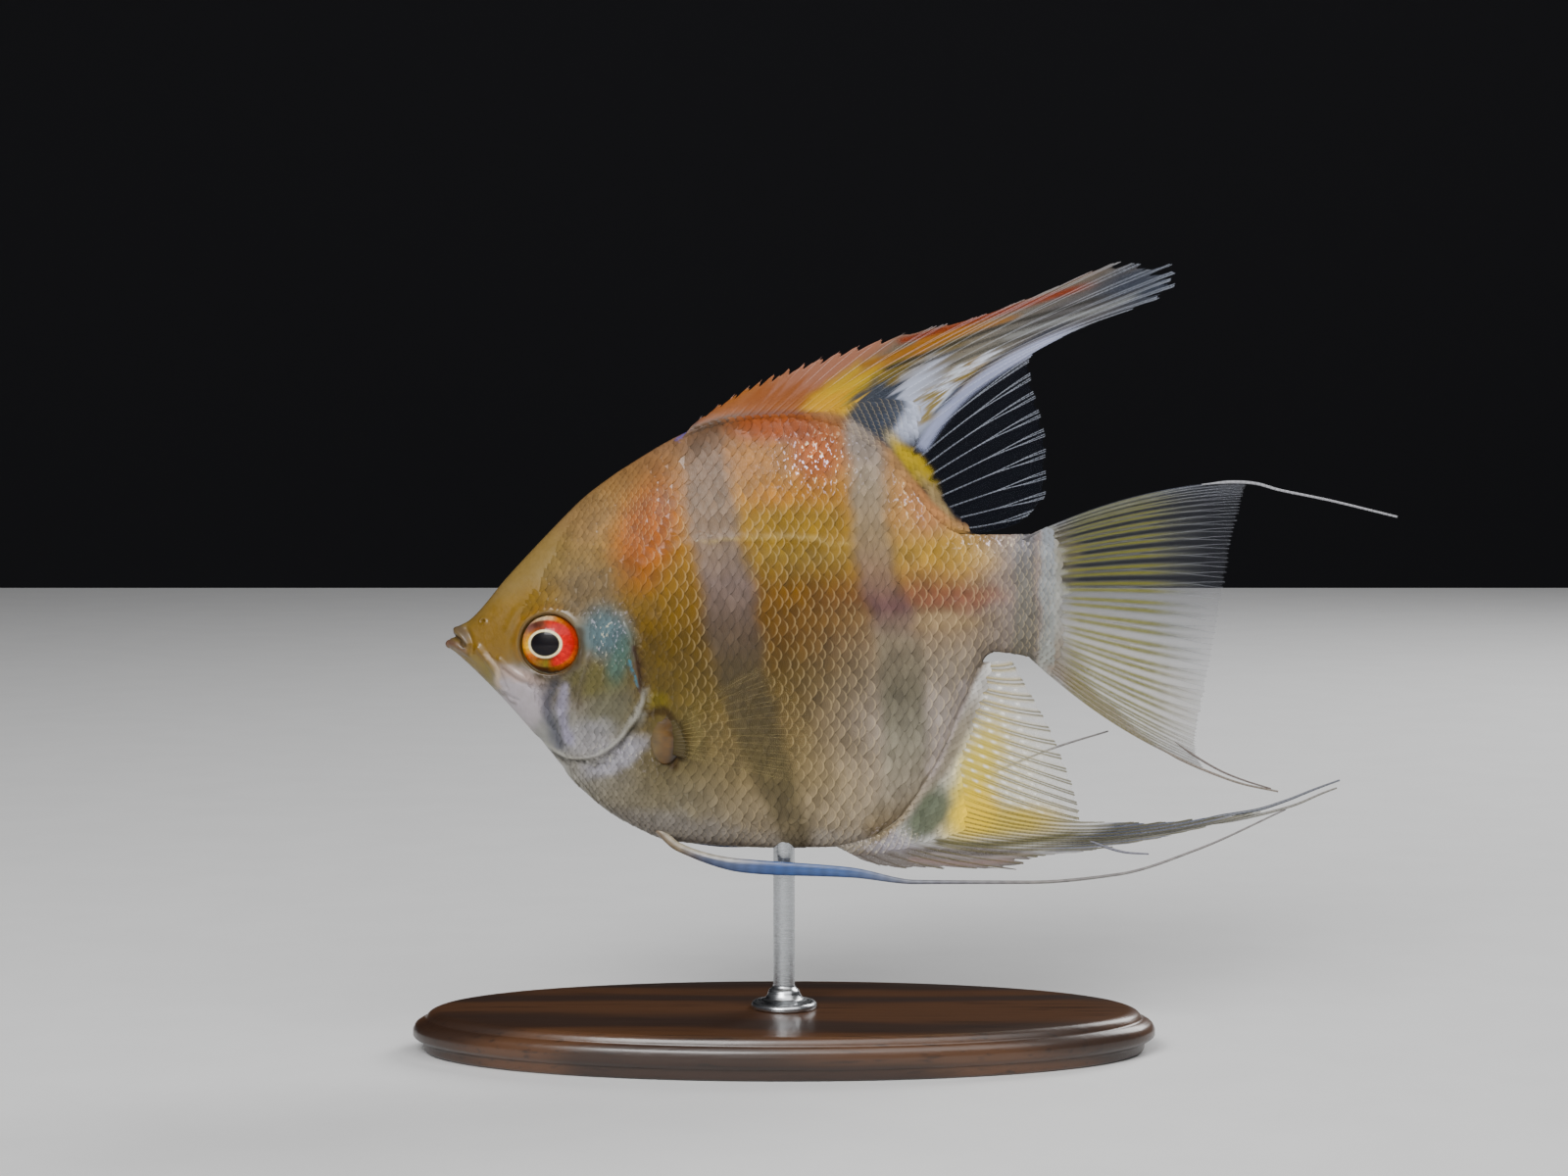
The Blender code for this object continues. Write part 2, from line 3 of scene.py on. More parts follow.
import bmesh
import bpy
import numpy as np
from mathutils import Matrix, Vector


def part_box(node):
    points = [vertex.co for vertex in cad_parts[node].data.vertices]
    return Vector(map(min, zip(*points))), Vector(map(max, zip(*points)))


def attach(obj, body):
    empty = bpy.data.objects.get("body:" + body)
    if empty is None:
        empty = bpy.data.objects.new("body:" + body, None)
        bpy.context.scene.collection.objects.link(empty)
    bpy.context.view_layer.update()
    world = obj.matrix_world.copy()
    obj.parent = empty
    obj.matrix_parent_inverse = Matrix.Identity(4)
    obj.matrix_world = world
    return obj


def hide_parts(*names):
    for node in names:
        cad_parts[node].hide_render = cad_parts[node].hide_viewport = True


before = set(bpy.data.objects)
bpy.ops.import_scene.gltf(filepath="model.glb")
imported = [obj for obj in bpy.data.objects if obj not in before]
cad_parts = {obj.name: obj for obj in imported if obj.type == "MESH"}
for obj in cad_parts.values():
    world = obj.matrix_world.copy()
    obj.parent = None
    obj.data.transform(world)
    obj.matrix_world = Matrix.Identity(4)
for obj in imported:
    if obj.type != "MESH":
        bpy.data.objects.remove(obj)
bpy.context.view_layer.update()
mm = 0.001
sides = {"left": -1.0, "right": 1.0}  # the fish swims towards -X, so its left side faces -Y


def boxCentre(node):
    low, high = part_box(node)
    return (low + high) / 2


# Places on the fish are (X, height) in millimetres, with height measured from its swimming line.
eye = {"place": (-32.4, -7.4), "radius": 4.15, "depth": 2.75, "proud": 0.95, "turn": 0.75}
swimHeight = boxCentre("eye_left").z / mm - eye["place"][1]

body = {
    "back": [(-46.6, -7.2), (-45.6, -5.4), (-43.9, -4.4), (-38.6, 1.6), (-32.4, 8.2), (-27.3, 13.2),
             (-20.4, 18.0), (-13.6, 21.8), (-8.2, 23.6), (0.0, 24.6), (6.8, 23.6), (14.3, 18.7),
             (21.1, 10.6), (23.9, 8.5), (27.3, 7.5), (35.2, 7.6)],
    "belly": [(-46.6, -8.5), (-45.7, -9.2), (-40.5, -14.2), (-35.3, -20.0), (-33.0, -23.0), (-28.2, -28.4),
              (-22.5, -32.7), (-15.0, -35.7), (0.8, -36.5), (6.8, -36.4), (11.6, -35.4), (15.7, -32.7),
              (21.1, -25.2), (25.2, -15.7), (27.3, -10.9), (28.9, -9.0), (35.2, -9.9)],
    "halfWidth": [(-46.6, 0.6), (-45.6, 1.4), (-43.6, 2.2), (-38.2, 3.8), (-32.4, 5.4), (-24.5, 6.6),
                  (-16.4, 7.1), (-6.8, 7.0), (2.7, 6.3), (13.6, 4.8), (21.8, 3.6), (28.6, 2.7),
                  (35.2, 1.6)],
    "widest": 0.48,  # share of the height, from the belly
    "backRounding": [(-46.6, 0.5), (-25.0, 0.6), (-8.0, 0.7), (20.0, 0.66), (35.2, 0.55)],
    "bellyRounding": [(-46.6, 0.5), (-20.0, 0.5), (0.0, 0.56), (35.2, 0.55)],
    "backPower": 1.8,
    "bellyPower": 2.2,
    "coatDepth": 0.14,  # how far the skin lies inside the solids
}


# small tools

def place(points):
    # (x, y, height) rows in millimetres, as places in the scene
    return (np.asarray(points, float) + (0, 0, swimHeight)) * mm


def through(points):
    # a curve through (place, value) points that never overshoots them
    places, values = np.array(points, float).T
    spans = np.diff(places)
    slopes = np.diff(values) / spans
    before, after = slopes[:-1], slopes[1:]
    rising = before * after > 0
    inner = np.where(rising, 2 * before * after / np.where(rising, before + after, 1), 0)
    tangents = np.concatenate([slopes[:1], inner, slopes[-1:]])

    def valueAt(x):
        x = np.asarray(x, float)
        i = np.clip(np.searchsorted(places, x, side="right") - 1, 0, len(spans) - 1)
        t = np.clip((x - places[i]) / spans[i], 0, 1)
        start = (1 + 2 * t) * (1 - t) ** 2 * values[i] + t * (1 - t) ** 2 * spans[i] * tangents[i]
        end = t * t * (3 - 2 * t) * values[i + 1] - t * t * (1 - t) * spans[i] * tangents[i + 1]
        return start + end

    return valueAt


def smoothStep(low, high, value):
    t = np.clip((value - low) / (high - low), 0, 1)
    return t * t * (3 - 2 * t)


def smoothLine(points, perSpan=8):
    # a Catmull-Rom curve through the points
    knots = np.array(points, float)
    knots = np.vstack([2 * knots[0] - knots[1], knots, 2 * knots[-1] - knots[-2]])
    t = np.arange(perSpan)[:, None] / perSpan
    spans = [
        0.5 * (2 * b + (c - a) * t + (2 * a - 5 * b + 4 * c - d) * t**2 + (3 * b - a - 3 * c + d) * t**3)
        for a, b, c, d in zip(knots, knots[1:], knots[2:], knots[3:])
    ]
    return np.vstack([*spans, knots[-2:-1]])


def lengthAlong(points):
    # the distance travelled at each point of a path
    steps = np.linalg.norm(np.diff(points, axis=0), axis=1)
    return np.concatenate([[0], np.cumsum(steps)])


def lineDistance(x, height, points):
    # distance to a smooth line, positive on its left, and the share of the line passed
    line = smoothLine(points)
    best = np.full(np.shape(x), 1e9)
    signed, passed = np.zeros_like(best), np.zeros_like(best)
    for i, (a, b) in enumerate(zip(line, line[1:])):
        along = b - a
        t = np.clip(((x - a[0]) * along[0] + (height - a[1]) * along[1]) / (along @ along), 0, 1)
        dx, dz = x - a[0] - t * along[0], height - a[1] - t * along[1]
        far = np.hypot(dx, dz)
        closer = far < best
        best = np.where(closer, far, best)
        signed = np.where(closer, np.copysign(far, along[0] * dz - along[1] * dx), signed)
        passed = np.where(closer, (i + t) / (len(line) - 1), passed)
    return signed, passed


def ovalDistance(x, height, atX, atHeight, long, wide, turn):
    # 0 at the middle of a turned oval and 1 on its edge
    turn = math.radians(turn)
    dx, dh = x - atX, height - atHeight
    along = dx * math.cos(turn) + dh * math.sin(turn)
    across = dh * math.cos(turn) - dx * math.sin(turn)
    return np.hypot(along / long, across / wide)


noiseTable = np.random.RandomState(7).rand(64, 64)


def cloud(x, height, size, shift=0.0):
    # smooth noise from 0 to 1 with features about size across
    u, v = x / size + 17.3 + shift, height / size + 9.1 + 2.7 * shift
    i, j = np.floor(u).astype(int), np.floor(v).astype(int)
    s, t = smoothStep(0, 1, u - i), smoothStep(0, 1, v - j)
    corner = lambda a, b: noiseTable[(i + a) % 64, (j + b) % 64]
    low = corner(0, 0) * (1 - s) + corner(1, 0) * s
    high = corner(0, 1) * (1 - s) + corner(1, 1) * s
    return low * (1 - t) + high * t


vivid = 1.32  # how far colours are pushed from grey, as the render's tone curve greys them


def linear(*screen):
    c = np.array(screen, float) / 255
    c = np.where(c <= 0.04045, c / 12.92, ((c + 0.055) / 1.055) ** 2.4)
    return np.clip(c.mean() + (c - c.mean()) * vivid, 0.001, 1)


def newObject(name, data):
    item = bpy.data.objects.new(name, data)
    bpy.context.scene.collection.objects.link(item)
    return item


def addPiece(name, mesh, slot, *replaced):
    item = newObject(name, mesh)
    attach(item, "root")
    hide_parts(*replaced)
    return item


def turnOutwards(mesh):
    shape = bmesh.new()
    shape.from_mesh(mesh)
    bmesh.ops.recalc_face_normals(shape, faces=shape.faces)
    shape.to_mesh(mesh)
    shape.free()


def meshOf(name, points, faces, material):
    mesh = bpy.data.meshes.new(name)
    mesh.from_pydata(np.asarray(points).reshape(-1, 3).tolist(), [], faces)
    turnOutwards(mesh)
    mesh.materials.append(material)
    mesh.shade_smooth()
    return mesh


def numbersOf(data, key, width):
    # one row of numbers for each element of a mesh's data
    kind = np.int32 if key == "vertex_index" else np.float32
    flat = np.empty(len(data) * width, kind)
    data.foreach_get(key, flat)
    return flat.reshape(-1, width)


def placesOf(mesh):
    # a mesh's points as x, y and height in millimetres
    points = numbersOf(mesh.vertices, "co", 3) / mm
    return points[:, 0], points[:, 1], points[:, 2] - swimHeight


def addNumbers(mesh, **attributes):
    # a number, or a row of three, for each point
    for name, values in attributes.items():
        values = np.asarray(values, np.float32)
        kind, key = ("FLOAT", "value") if values.ndim == 1 else ("FLOAT_VECTOR", "vector")
        mesh.attributes.new(name, kind, "POINT").data.foreach_set(key, values.ravel())


def setColours(mesh, name, colours):
    rgba = np.ones((len(mesh.vertices), 4), np.float32)
    rgba[:, : colours.shape[1]] = colours
    layer = mesh.color_attributes.new(name, "FLOAT_COLOR", "POINT")
    layer.data.foreach_set("color", rgba.ravel())


def setUv(mesh, name, perVertex):
    corners = numbersOf(mesh.loops, "vertex_index", 1)[:, 0]
    layer = mesh.uv_layers.new(name=name)
    layer.data.foreach_set("uv", perVertex[corners].astype(np.float32).ravel())


def closeSeam(mesh, columns):
    # where a wrapped grid's last column meets its first, carry the unwrap on past the last
    quads = [loop for face in mesh.polygons if face.loop_total == 4 for loop in face.loop_indices]
    layer = mesh.uv_layers["OFBake"]
    unwrap = numbersOf(layer.data, "uv", 2)
    v = unwrap[quads, 1].reshape(-1, 4)
    stretched = np.ptp(v, axis=1, keepdims=True) > 0.5
    unwrap[quads, 1] = np.where(stretched & (v < 0.5), (columns + 0.5) / (columns + 1), v).ravel()
    layer.data.foreach_set("uv", unwrap.ravel())


def gridFaces(rows, columns, start=0, wrap=False, loop=False):
    # quads over rows of points: wrap closes every row, and loop joins the last row to the first
    faces = []
    for r in range(rows if loop else rows - 1):
        for c in range(columns if wrap else columns - 1):
            here, after = start + r * columns, start + (r + 1) % rows * columns
            d = (c + 1) % columns
            faces.append([after + c, after + d, here + d, here + c])
    return faces


def shellFaces(rows, columns, poles=False):
    # a closed sheet over rings of points: flat at both ends, or drawn to two points listed after the rings
    faces = gridFaces(rows, columns, wrap=True)
    ends = [list(range(columns)), list(range((rows - 1) * columns, rows * columns))]
    if not poles:
        return faces + ends
    for pole, ring in enumerate(ends, rows * columns):
        faces += [[pole, a, b] for a, b in zip(ring, ring[1:] + ring[:1])]
    return faces


# nodes for materials and for shapes

class Wiring:
    # short ways to add and join nodes
    def __init__(self, tree):
        self.tree = tree

    def feed(self, socket, value):
        if isinstance(value, bpy.types.NodeSocket):
            self.tree.links.new(value, socket)
        else:
            socket.default_value = value

    def node(self, kind, settings=None, **inputs):
        made = self.tree.nodes.new(kind)
        for key, value in (settings or {}).items():
            setattr(made, key, value)
        for key, value in inputs.items():
            self.feed(made.inputs[key.replace("_", " ")], value)
        return made

    def sum(self, kind, operation, *values):
        # a node whose inputs are taken in order
        made = self.node(kind, {"operation": operation})
        for socket, value in zip(made.inputs, values):
            self.feed(socket, value)
        return made.outputs[0]

    def math(self, operation, a, b=0.0, c=0.0):
        return self.sum("ShaderNodeMath", operation, a, b, c)

    def vector(self, operation, a, b):
        return self.sum("ShaderNodeVectorMath", operation, a, b)


class Material(Wiring):
    def __init__(self, name):
        self.material = bpy.data.materials.new(name)
        self.material.use_nodes = True
        super().__init__(self.material.node_tree)

    def remap(self, value, low, high, start=0.0, end=1.0):
        return self.node("ShaderNodeMapRange", {"interpolation_type": "SMOOTHSTEP"}, Value=value,
                         From_Min=low, From_Max=high, To_Min=start, To_Max=end).outputs["Result"]

    def mix(self, factor, a, b, blend="MIX"):
        made = self.node("ShaderNodeMix", {"data_type": "RGBA", "blend_type": blend}, Factor=factor)
        for socket, value in zip(made.inputs[6:8], (a, b)):
            self.feed(socket, (*value, 1.0) if isinstance(value, tuple) else value)
        return made.outputs[2]

    def attribute(self, name):
        return self.node("ShaderNodeAttribute", {"attribute_name": name}).outputs

    def parts(self, colour):
        return self.node("ShaderNodeSeparateColor", Color=colour).outputs

    def axes(self, vector):
        return self.node("ShaderNodeSeparateXYZ", Vector=vector).outputs

    def objectPlace(self):
        return self.node("ShaderNodeTexCoord").outputs["Object"]

    def noise(self, vector, scale, detail=3.0):
        return self.node("ShaderNodeTexNoise", Vector=vector, Scale=scale, Detail=detail,
                         Roughness=0.55).outputs["Fac"]

    def stretched(self, vector, scale):
        return self.node("ShaderNodeMapping", Vector=vector, Scale=scale).outputs["Vector"]

    def bump(self, height, strength, distance):
        return self.node("ShaderNodeBump", Height=height, Strength=strength,
                         Distance=distance).outputs["Normal"]

    def set(self, **values):
        for key, value in values.items():
            self.feed(self.tree.nodes["Principled BSDF"].inputs[key.replace("_", " ")], value)
        return self.material


class Shaping(Wiring):
    # a Geometry Nodes tree with named inputs and one output
    def __init__(self, name, output, **inputs):
        super().__init__(bpy.data.node_groups.new(name, "GeometryNodeTree"))
        for key, kind in inputs.items():
            self.tree.interface.new_socket(key.replace("_", " "), in_out="INPUT",
                                           socket_type="NodeSocket" + kind)
        self.tree.interface.new_socket(output, in_out="OUTPUT", socket_type="NodeSocketGeometry")
        self.given = self.node("NodeGroupInput").outputs

    def named(self, name, kind="FLOAT"):
        return self.node("GeometryNodeInputNamedAttribute", {"data_type": kind}, Name=name).outputs[0]

    def run(self, kind, settings=None, **inputs):
        # a node's first output
        return self.node(kind, settings, **inputs).outputs[0]

    def finish(self, geometry):
        dressed = self.run("GeometryNodeSetMaterial", Geometry=geometry, Material=self.given["Material"])
        self.feed(self.node("NodeGroupOutput").inputs[0], dressed)
        return self.tree


# the body's shape

backAt, bellyAt, halfWidthAt = (through(body[key]) for key in ("back", "belly", "halfWidth"))
backRoundingAt, bellyRoundingAt = through(body["backRounding"]), through(body["bellyRounding"])


def middleAt(x):
    return bellyAt(x) + body["widest"] * (backAt(x) - bellyAt(x))


def widthAt(x, height):
    # the body's half-width at any place on its side
    middle = middleAt(x)
    up = height > middle
    rise = np.clip(abs(height - middle) / np.where(up, backAt(x) - middle, middle - bellyAt(x)), 0, 1)
    power = np.where(up, body["backPower"], body["bellyPower"])
    rounding = np.where(up, backRoundingAt(x), bellyRoundingAt(x))
    return halfWidthAt(x) * (1 - rise**power) ** rounding


tailWedge = {"start": 35.2, "end": 37.6}  # the flesh thins out between the tail fin's two faces


def sideProfiles(xs, count):
    # width and height down one side at each x, evenly spaced from belly to back
    fine = np.sin(np.linspace(-math.pi / 2, math.pi / 2, 601))
    rows = []
    for x in xs:
        inside = min(x, tailWedge["start"])
        middle = middleAt(inside)
        heights = middle + fine * np.where(fine > 0, backAt(inside) - middle, middle - bellyAt(inside))
        widths = widthAt(inside, heights)
        if x > tailWedge["start"]:
            left = (tailWedge["end"] - x) / (tailWedge["end"] - tailWedge["start"])
            widths = widths * max(left, 0) ** 0.6
            heights = middle + (heights - middle) * (0.93 + 0.07 * left)
        length = np.concatenate([[0], np.cumsum(np.hypot(np.diff(widths), np.diff(heights)))])
        even = np.linspace(0, length[-1], count)
        rows.append(np.stack([np.interp(even, length, widths), np.interp(even, length, heights)], -1))
    return np.array(rows)


# markings and painted light and shade: colours at any (X, height), shared by skin and scales

tones = {  # down the side from back to belly, at places along the body
    -30.0: [(14, (150, 124, 92)), (6, (150, 126, 88)), (0, (132, 112, 80)), (-8, (118, 106, 76)),
            (-16, (140, 134, 124)), (-24, (150, 147, 140)), (-34, (120, 114, 98))],
    -17.0: [(20, (158, 124, 98)), (14, (174, 130, 86)), (9, (182, 128, 62)), (3, (146, 109, 50)),
            (-1, (120, 92, 42)), (-7, (96, 76, 36)), (-16, (100, 86, 50)), (-24, (97, 88, 66)),
            (-31, (112, 106, 92)), (-37, (118, 112, 104))],
    0.0: [(24, (158, 116, 82)), (20, (164, 122, 90)), (17, (190, 142, 98)), (13, (176, 132, 56)),
          (9, (158, 124, 52)), (5, (134, 110, 62)), (0, (114, 82, 42)), (-6, (99, 73, 41)),
          (-12, (94, 77, 47)), (-18, (108, 92, 65)), (-26, (126, 112, 86)), (-34, (134, 124, 108))],
    23.0: [(16, (196, 158, 120)), (10, (188, 146, 108)), (5, (174, 142, 88)), (1, (148, 112, 78)),
           (-1.5, (126, 92, 78)), (-4, (148, 126, 102)), (-10, (152, 140, 126)), (-18, (178, 168, 160)),
           (-30, (146, 136, 124))],
    33.0: [(8, (160, 148, 144)), (3, (150, 138, 132)), (-3, (146, 136, 132)), (-9, (146, 136, 128))],
}

bars = {  # the faint upright bars: middle line, half-width down it, and colours by height
    "second": {
        "line": [(-11.4, 24), (-10.4, 14), (-9.4, 7), (-7.6, 0), (-6.8, -7), (-5.2, -14), (-2.6, -22),
                 (0.2, -30), (2.0, -36)],
        "reach": [(0, 2.4), (0.2, 3.4), (0.5, 3.5), (0.75, 3.0), (1, 2.0)],
        "tones": [(23, (108, 82, 64)), (19, (132, 110, 94)), (13, (136, 118, 104)), (7, (140, 124, 112)),
                  (1, (124, 110, 106)), (-5, (98, 85, 76)), (-10, (86, 76, 60)), (-14, (84, 75, 58)),
                  (-24, (82, 74, 54)), (-34, (94, 86, 70))],
        "soft": 1.2,
        "strength": 0.88,
    },
    "third": {
        "line": [(10.8, 22), (11.6, 14), (11.9, 8), (12.6, 3), (14.2, -2), (15.8, -7), (16.4, -14),
                 (16.8, -21), (16.4, -28), (14.0, -33)],
        "reach": [(0, 2.2), (0.3, 2.6), (0.5, 2.8), (0.7, 3.1), (1, 2.8)],
        "tones": [(20, (168, 160, 154)), (14, (177, 165, 147)), (8, (154, 138, 116)), (3, (146, 124, 108)),
                  (-2.5, (112, 86, 88)), (-7, (134, 124, 108)), (-14, (108, 104, 89)),
                  (-21, (136, 132, 117)), (-28, (140, 132, 118)), (-33, (122, 110, 90))],
        "soft": 1.1,
        "strength": 0.85,
    },
    "tail": {
        "line": [(33.2, 9), (33.4, 0), (33.2, -11)],
        "reach": [(0, 1.4), (1, 1.6)],
        "tones": [(8, (122, 122, 128)), (0, (124, 122, 116)), (-10, (112, 108, 98))],
        "soft": 0.5,
        "strength": 0.85,
    },
    "tailEdge": {
        "line": [(36.9, 9), (37.2, 0), (36.6, -12)],
        "reach": [(0, 1.5), (1, 1.5)],
        "tones": [(8, (176, 182, 188)), (-10, (166, 168, 162))],
        "soft": 0.4,
        "strength": 0.9,
    },
}

patches = {  # x, height, size along, size across, turn, softness, colour, strength, in the order laid
    "nape": (-27.5, 9.5, 4.5, 3.0, 42, 0.5, (152, 124, 92), 0.7),
    "forehead": (-35.5, 1.5, 7.5, 2.6, 46, 0.5, (146, 124, 82), 0.8),
    "temple": (-27.6, -0.4, 4.2, 3.6, 20, 0.5, (122, 106, 84), 0.8),
    "brow": (-36.0, -2.4, 5.2, 2.4, 20, 0.6, (138, 108, 46), 0.8),
    "snout": (-40.6, -7.2, 4.4, 4.2, 0, 0.5, (128, 99, 4), 0.95),
    "cheek": (-36.2, -15.2, 4.6, 3.4, -48, 0.35, (196, 188, 192), 0.95),
    "chin": (-41.6, -12.0, 3.4, 1.2, -48, 0.5, (132, 120, 72), 0.8),
    "underEye": (-36.6, -12.0, 3.4, 0.9, -18, 0.5, (186, 164, 152), 0.75),
    "throat": (-31.6, -19.6, 3.0, 3.0, 0, 0.5, (150, 150, 146), 0.8),
    "gillTop": (-25.6, -12.6, 4.0, 2.6, 0, 0.5, (104, 99, 66), 0.9),
    "gillLow": (-24.2, -17.0, 4.2, 3.0, 35, 0.5, (112, 110, 94), 0.85),
    "gillPale": (-26.6, -20.2, 3.6, 2.4, 20, 0.5, (164, 162, 164), 0.8),
    "turquoise": (-24.6, -5.8, 3.2, 3.5, 50, 0.6, (96, 122, 132), 0.8),
    "turquoiseLow": (-22.4, -9.4, 1.5, 3.2, -14, 0.6, (84, 112, 104), 0.8),
    "scalyPatch": (-23.6, -23.0, 4.8, 1.9, 30, 0.4, (164, 162, 168), 0.9),
    "yellowSpot": (-17.4, -15.2, 1.0, 1.3, 20, 0.9, (132, 118, 30), 0.75),
    "shoulder": (-18.6, 8.4, 3.9, 7.2, -16, 0.6, (156, 90, 0), 0.9),
    "saddle": (-2.4, 18.2, 6.0, 2.6, 2, 0.6, (180, 126, 72), 0.8),
    "saddleGold": (0.6, 13.6, 7.4, 2.2, 2, 0.6, (176, 122, 0), 0.95),
    "saddleOlive": (1.0, 9.4, 7.6, 2.2, -2, 0.6, (146, 116, 20), 0.75),
    "saddleRust": (4.6, 18.6, 3.4, 3.4, 30, 0.6, (180, 100, 10), 0.85),
    "backRust": (-0.6, 22.6, 7.4, 2.2, -3, 0.6, (160, 86, 34), 0.9),
    "rearPink": (19.2, 11.6, 2.4, 4.0, 40, 0.5, (206, 150, 112), 0.7),
    "rearGold": (24.0, 5.0, 5.0, 2.4, -10, 0.6, (176, 140, 74), 0.7),
    "rearRust": (23.0, -1.0, 6.5, 1.4, 0, 0.6, (134, 90, 72), 0.7),
    "rearPale": (21.5, -4.4, 6.0, 1.0, 2, 0.5, (168, 146, 118), 0.7),
    "bellySilver": (-17.0, -33.6, 12.0, 2.6, -8, 0.5, (128, 124, 120), 0.7),
    "bellyRear": (4.0, -35.6, 9.0, 1.6, 0, 0.5, (142, 136, 128), 0.8),
}

streaks = {  # narrow marks: line, reach, softness, colour, strength
    "cheekSmudge": ([(-31.6, -12.2), (-32.6, -15), (-32.4, -18), (-31.0, -21.2)], 0.9, 0.8, (70, 72, 86),
                    0.75),
    "cheekLight": ([(-30.0, -13.6), (-30.6, -17), (-29.6, -20.4)], 0.7, 0.5, (168, 164, 184), 0.75),
    "cheekBar": ([(-26.6, -8.5), (-27.6, -12), (-28.6, -16)], 0.4, 0.4, (88, 80, 66), 0.6),
    "gillEdgeBlue": ([(-20.9, -9.4), (-20.7, -11), (-20.1, -13.0)], 0.13, 0.12, (70, 136, 160), 0.8),
    "gillEdgeDark": ([(-20.4, -7.6), (-20.0, -10.4), (-19.6, -13.6)], 0.4, 0.3, (58, 40, 36), 0.8),
    "gillMargin": ([(-33.2, -21.6), (-29.2, -23.4), (-25.6, -22.9), (-22.4, -20.2), (-19.6, -16.4),
                    (-18.8, -13.0)], 0.35, 0.3, (178, 176, 168), 0.7),
    "gillShadow": ([(-33.0, -22.4), (-29.0, -24.2), (-25.2, -23.6), (-21.8, -20.8), (-19.0, -17.0)], 0.35,
                   0.3, (74, 72, 66), 0.75),
    "jawStreak": ([(-41.2, -9.2), (-39.8, -11.6), (-39.2, -13.6)], 0.3, 0.3, (206, 186, 164), 0.8),
    "jawFold": ([(-39.4, -14.4), (-38.4, -15.2), (-37.2, -15.5)], 0.16, 0.2, (110, 104, 98), 0.6),
    "upperLip": ([(-46.0, -5.5), (-45.1, -6.0), (-44.3, -7.2)], 0.6, 0.5, (104, 90, 76), 0.8),
    "lowerLip": ([(-46.9, -7.7), (-45.8, -7.9), (-44.6, -8.4)], 0.55, 0.45, (106, 80, 72), 0.85),
    "mouthLine": ([(-46.2, -6.6), (-45.5, -6.9), (-44.9, -7.3), (-44.4, -7.9)], 0.12, 0.14, (62, 44, 36),
                  0.8),
    "chinTan": ([(-45.4, -9.0), (-43.4, -10.2), (-42.4, -12.0)], 0.9, 0.7, (138, 120, 84), 0.7),
    "eyeShade": ([(-34.2, -11.8), (-32.4, -12.15), (-30.4, -11.7), (-28.6, -10.2), (-27.7, -7.8),
                  (-28.0, -5.4)], 0.45, 0.45, (60, 47, 28), 0.85),
    "eyeGold": ([(-30.6, -2.8), (-33.4, -2.6), (-36.0, -4.2), (-37.2, -7.0), (-36.6, -9.6)], 0.35, 0.4,
                (140, 102, 6), 0.6),
    "pectoralDark": ([(-18.4, -16.9), (-16.4, -17.0), (-14.6, -18.8), (-14.2, -21.4), (-15.4, -24.0)], 0.6,
                     0.4, (58, 42, 20), 0.9),
    # pale along the ridge above the anal fin: the silver scale edge, with a painted highlight on it
    "analRidge": ([(25.4, -13), (23.2, -19.2), (20.4, -25.6)], 0.7, 0.6, (184, 174, 170), 0.7),
    # a painted violet glint on the back
    "paintedVioletGlint": ([(-14.8, 20.6), (-13.9, 21.3), (-13.0, 22.1)], 0.22, 0.2, (112, 116, 196), 0.8),
    "sideLine": ([(-12, 7.0), (-4, 7.2), (3, 7.0), (9, 6.2)], 0.2, 0.2, (200, 178, 124), 0.35),
}

# painted light and shade by height: the back is darkened and the belly lightened
paintedLightAndShade = through([(-38, 1.2), (-28, 1.05), (-21, 0.76), (-13, 0.62), (-3, 0.64), (8, 0.62), (16, 0.52),
                    (24, 0.5)])  # by height, as the light falls mostly from above


def blend(stops, at):
    # colours in between those named at (place, colour) stops
    stops = sorted(stops)
    colours = np.array([linear(*tone) for _, tone in stops])
    return np.stack([np.interp(at, [stop for stop, _ in stops], colours[:, k]) for k in range(3)], -1)


def lay(colours, tone, weight):
    return colours + (tone - colours) * weight[:, None]


def inOval(x, height, oval, soft):
    # 1 inside a turned oval and 0 outside it, with a softened edge
    return 1 - smoothStep(1 - soft, 1 + soft, ovalDistance(x, height, *oval))


def nearLine(far, reach, soft):
    return 1 - smoothStep(reach - soft, reach + soft, abs(far))


def bodyColours(x, height):
    # the places wander a little, so no mark has a ruled edge
    px = x + 0.9 * (cloud(x, height, 2.6) - 0.5) + 0.4 * (cloud(x, height, 0.7, 3) - 0.5)
    ph = height + 0.9 * (cloud(x, height, 2.3, 5) - 0.5) + 0.4 * (cloud(x, height, 0.6, 8) - 0.5)
    stations = sorted(tones)
    colours = blend(tones[stations[0]], ph)
    for low, high in zip(stations, stations[1:]):
        colours = lay(colours, blend(tones[high], ph), smoothStep(low, high, px))
    for *oval, soft, tone, strength in patches.values():
        colours = lay(colours, linear(*tone), strength * inOval(px, ph, oval, soft))
    for bar in bars.values():
        far, passed = lineDistance(px, ph, bar["line"])
        weight = nearLine(far, through(bar["reach"])(passed), bar["soft"])
        colours = lay(colours, blend(bar["tones"], ph), weight * bar["strength"])
    for line, reach, soft, tone, strength in streaks.values():
        far, _ = lineDistance(px, ph, line)
        colours = lay(colours, linear(*tone), strength * nearLine(far, reach, soft))
    return colours * paintedLightAndShade(height)[:, None]


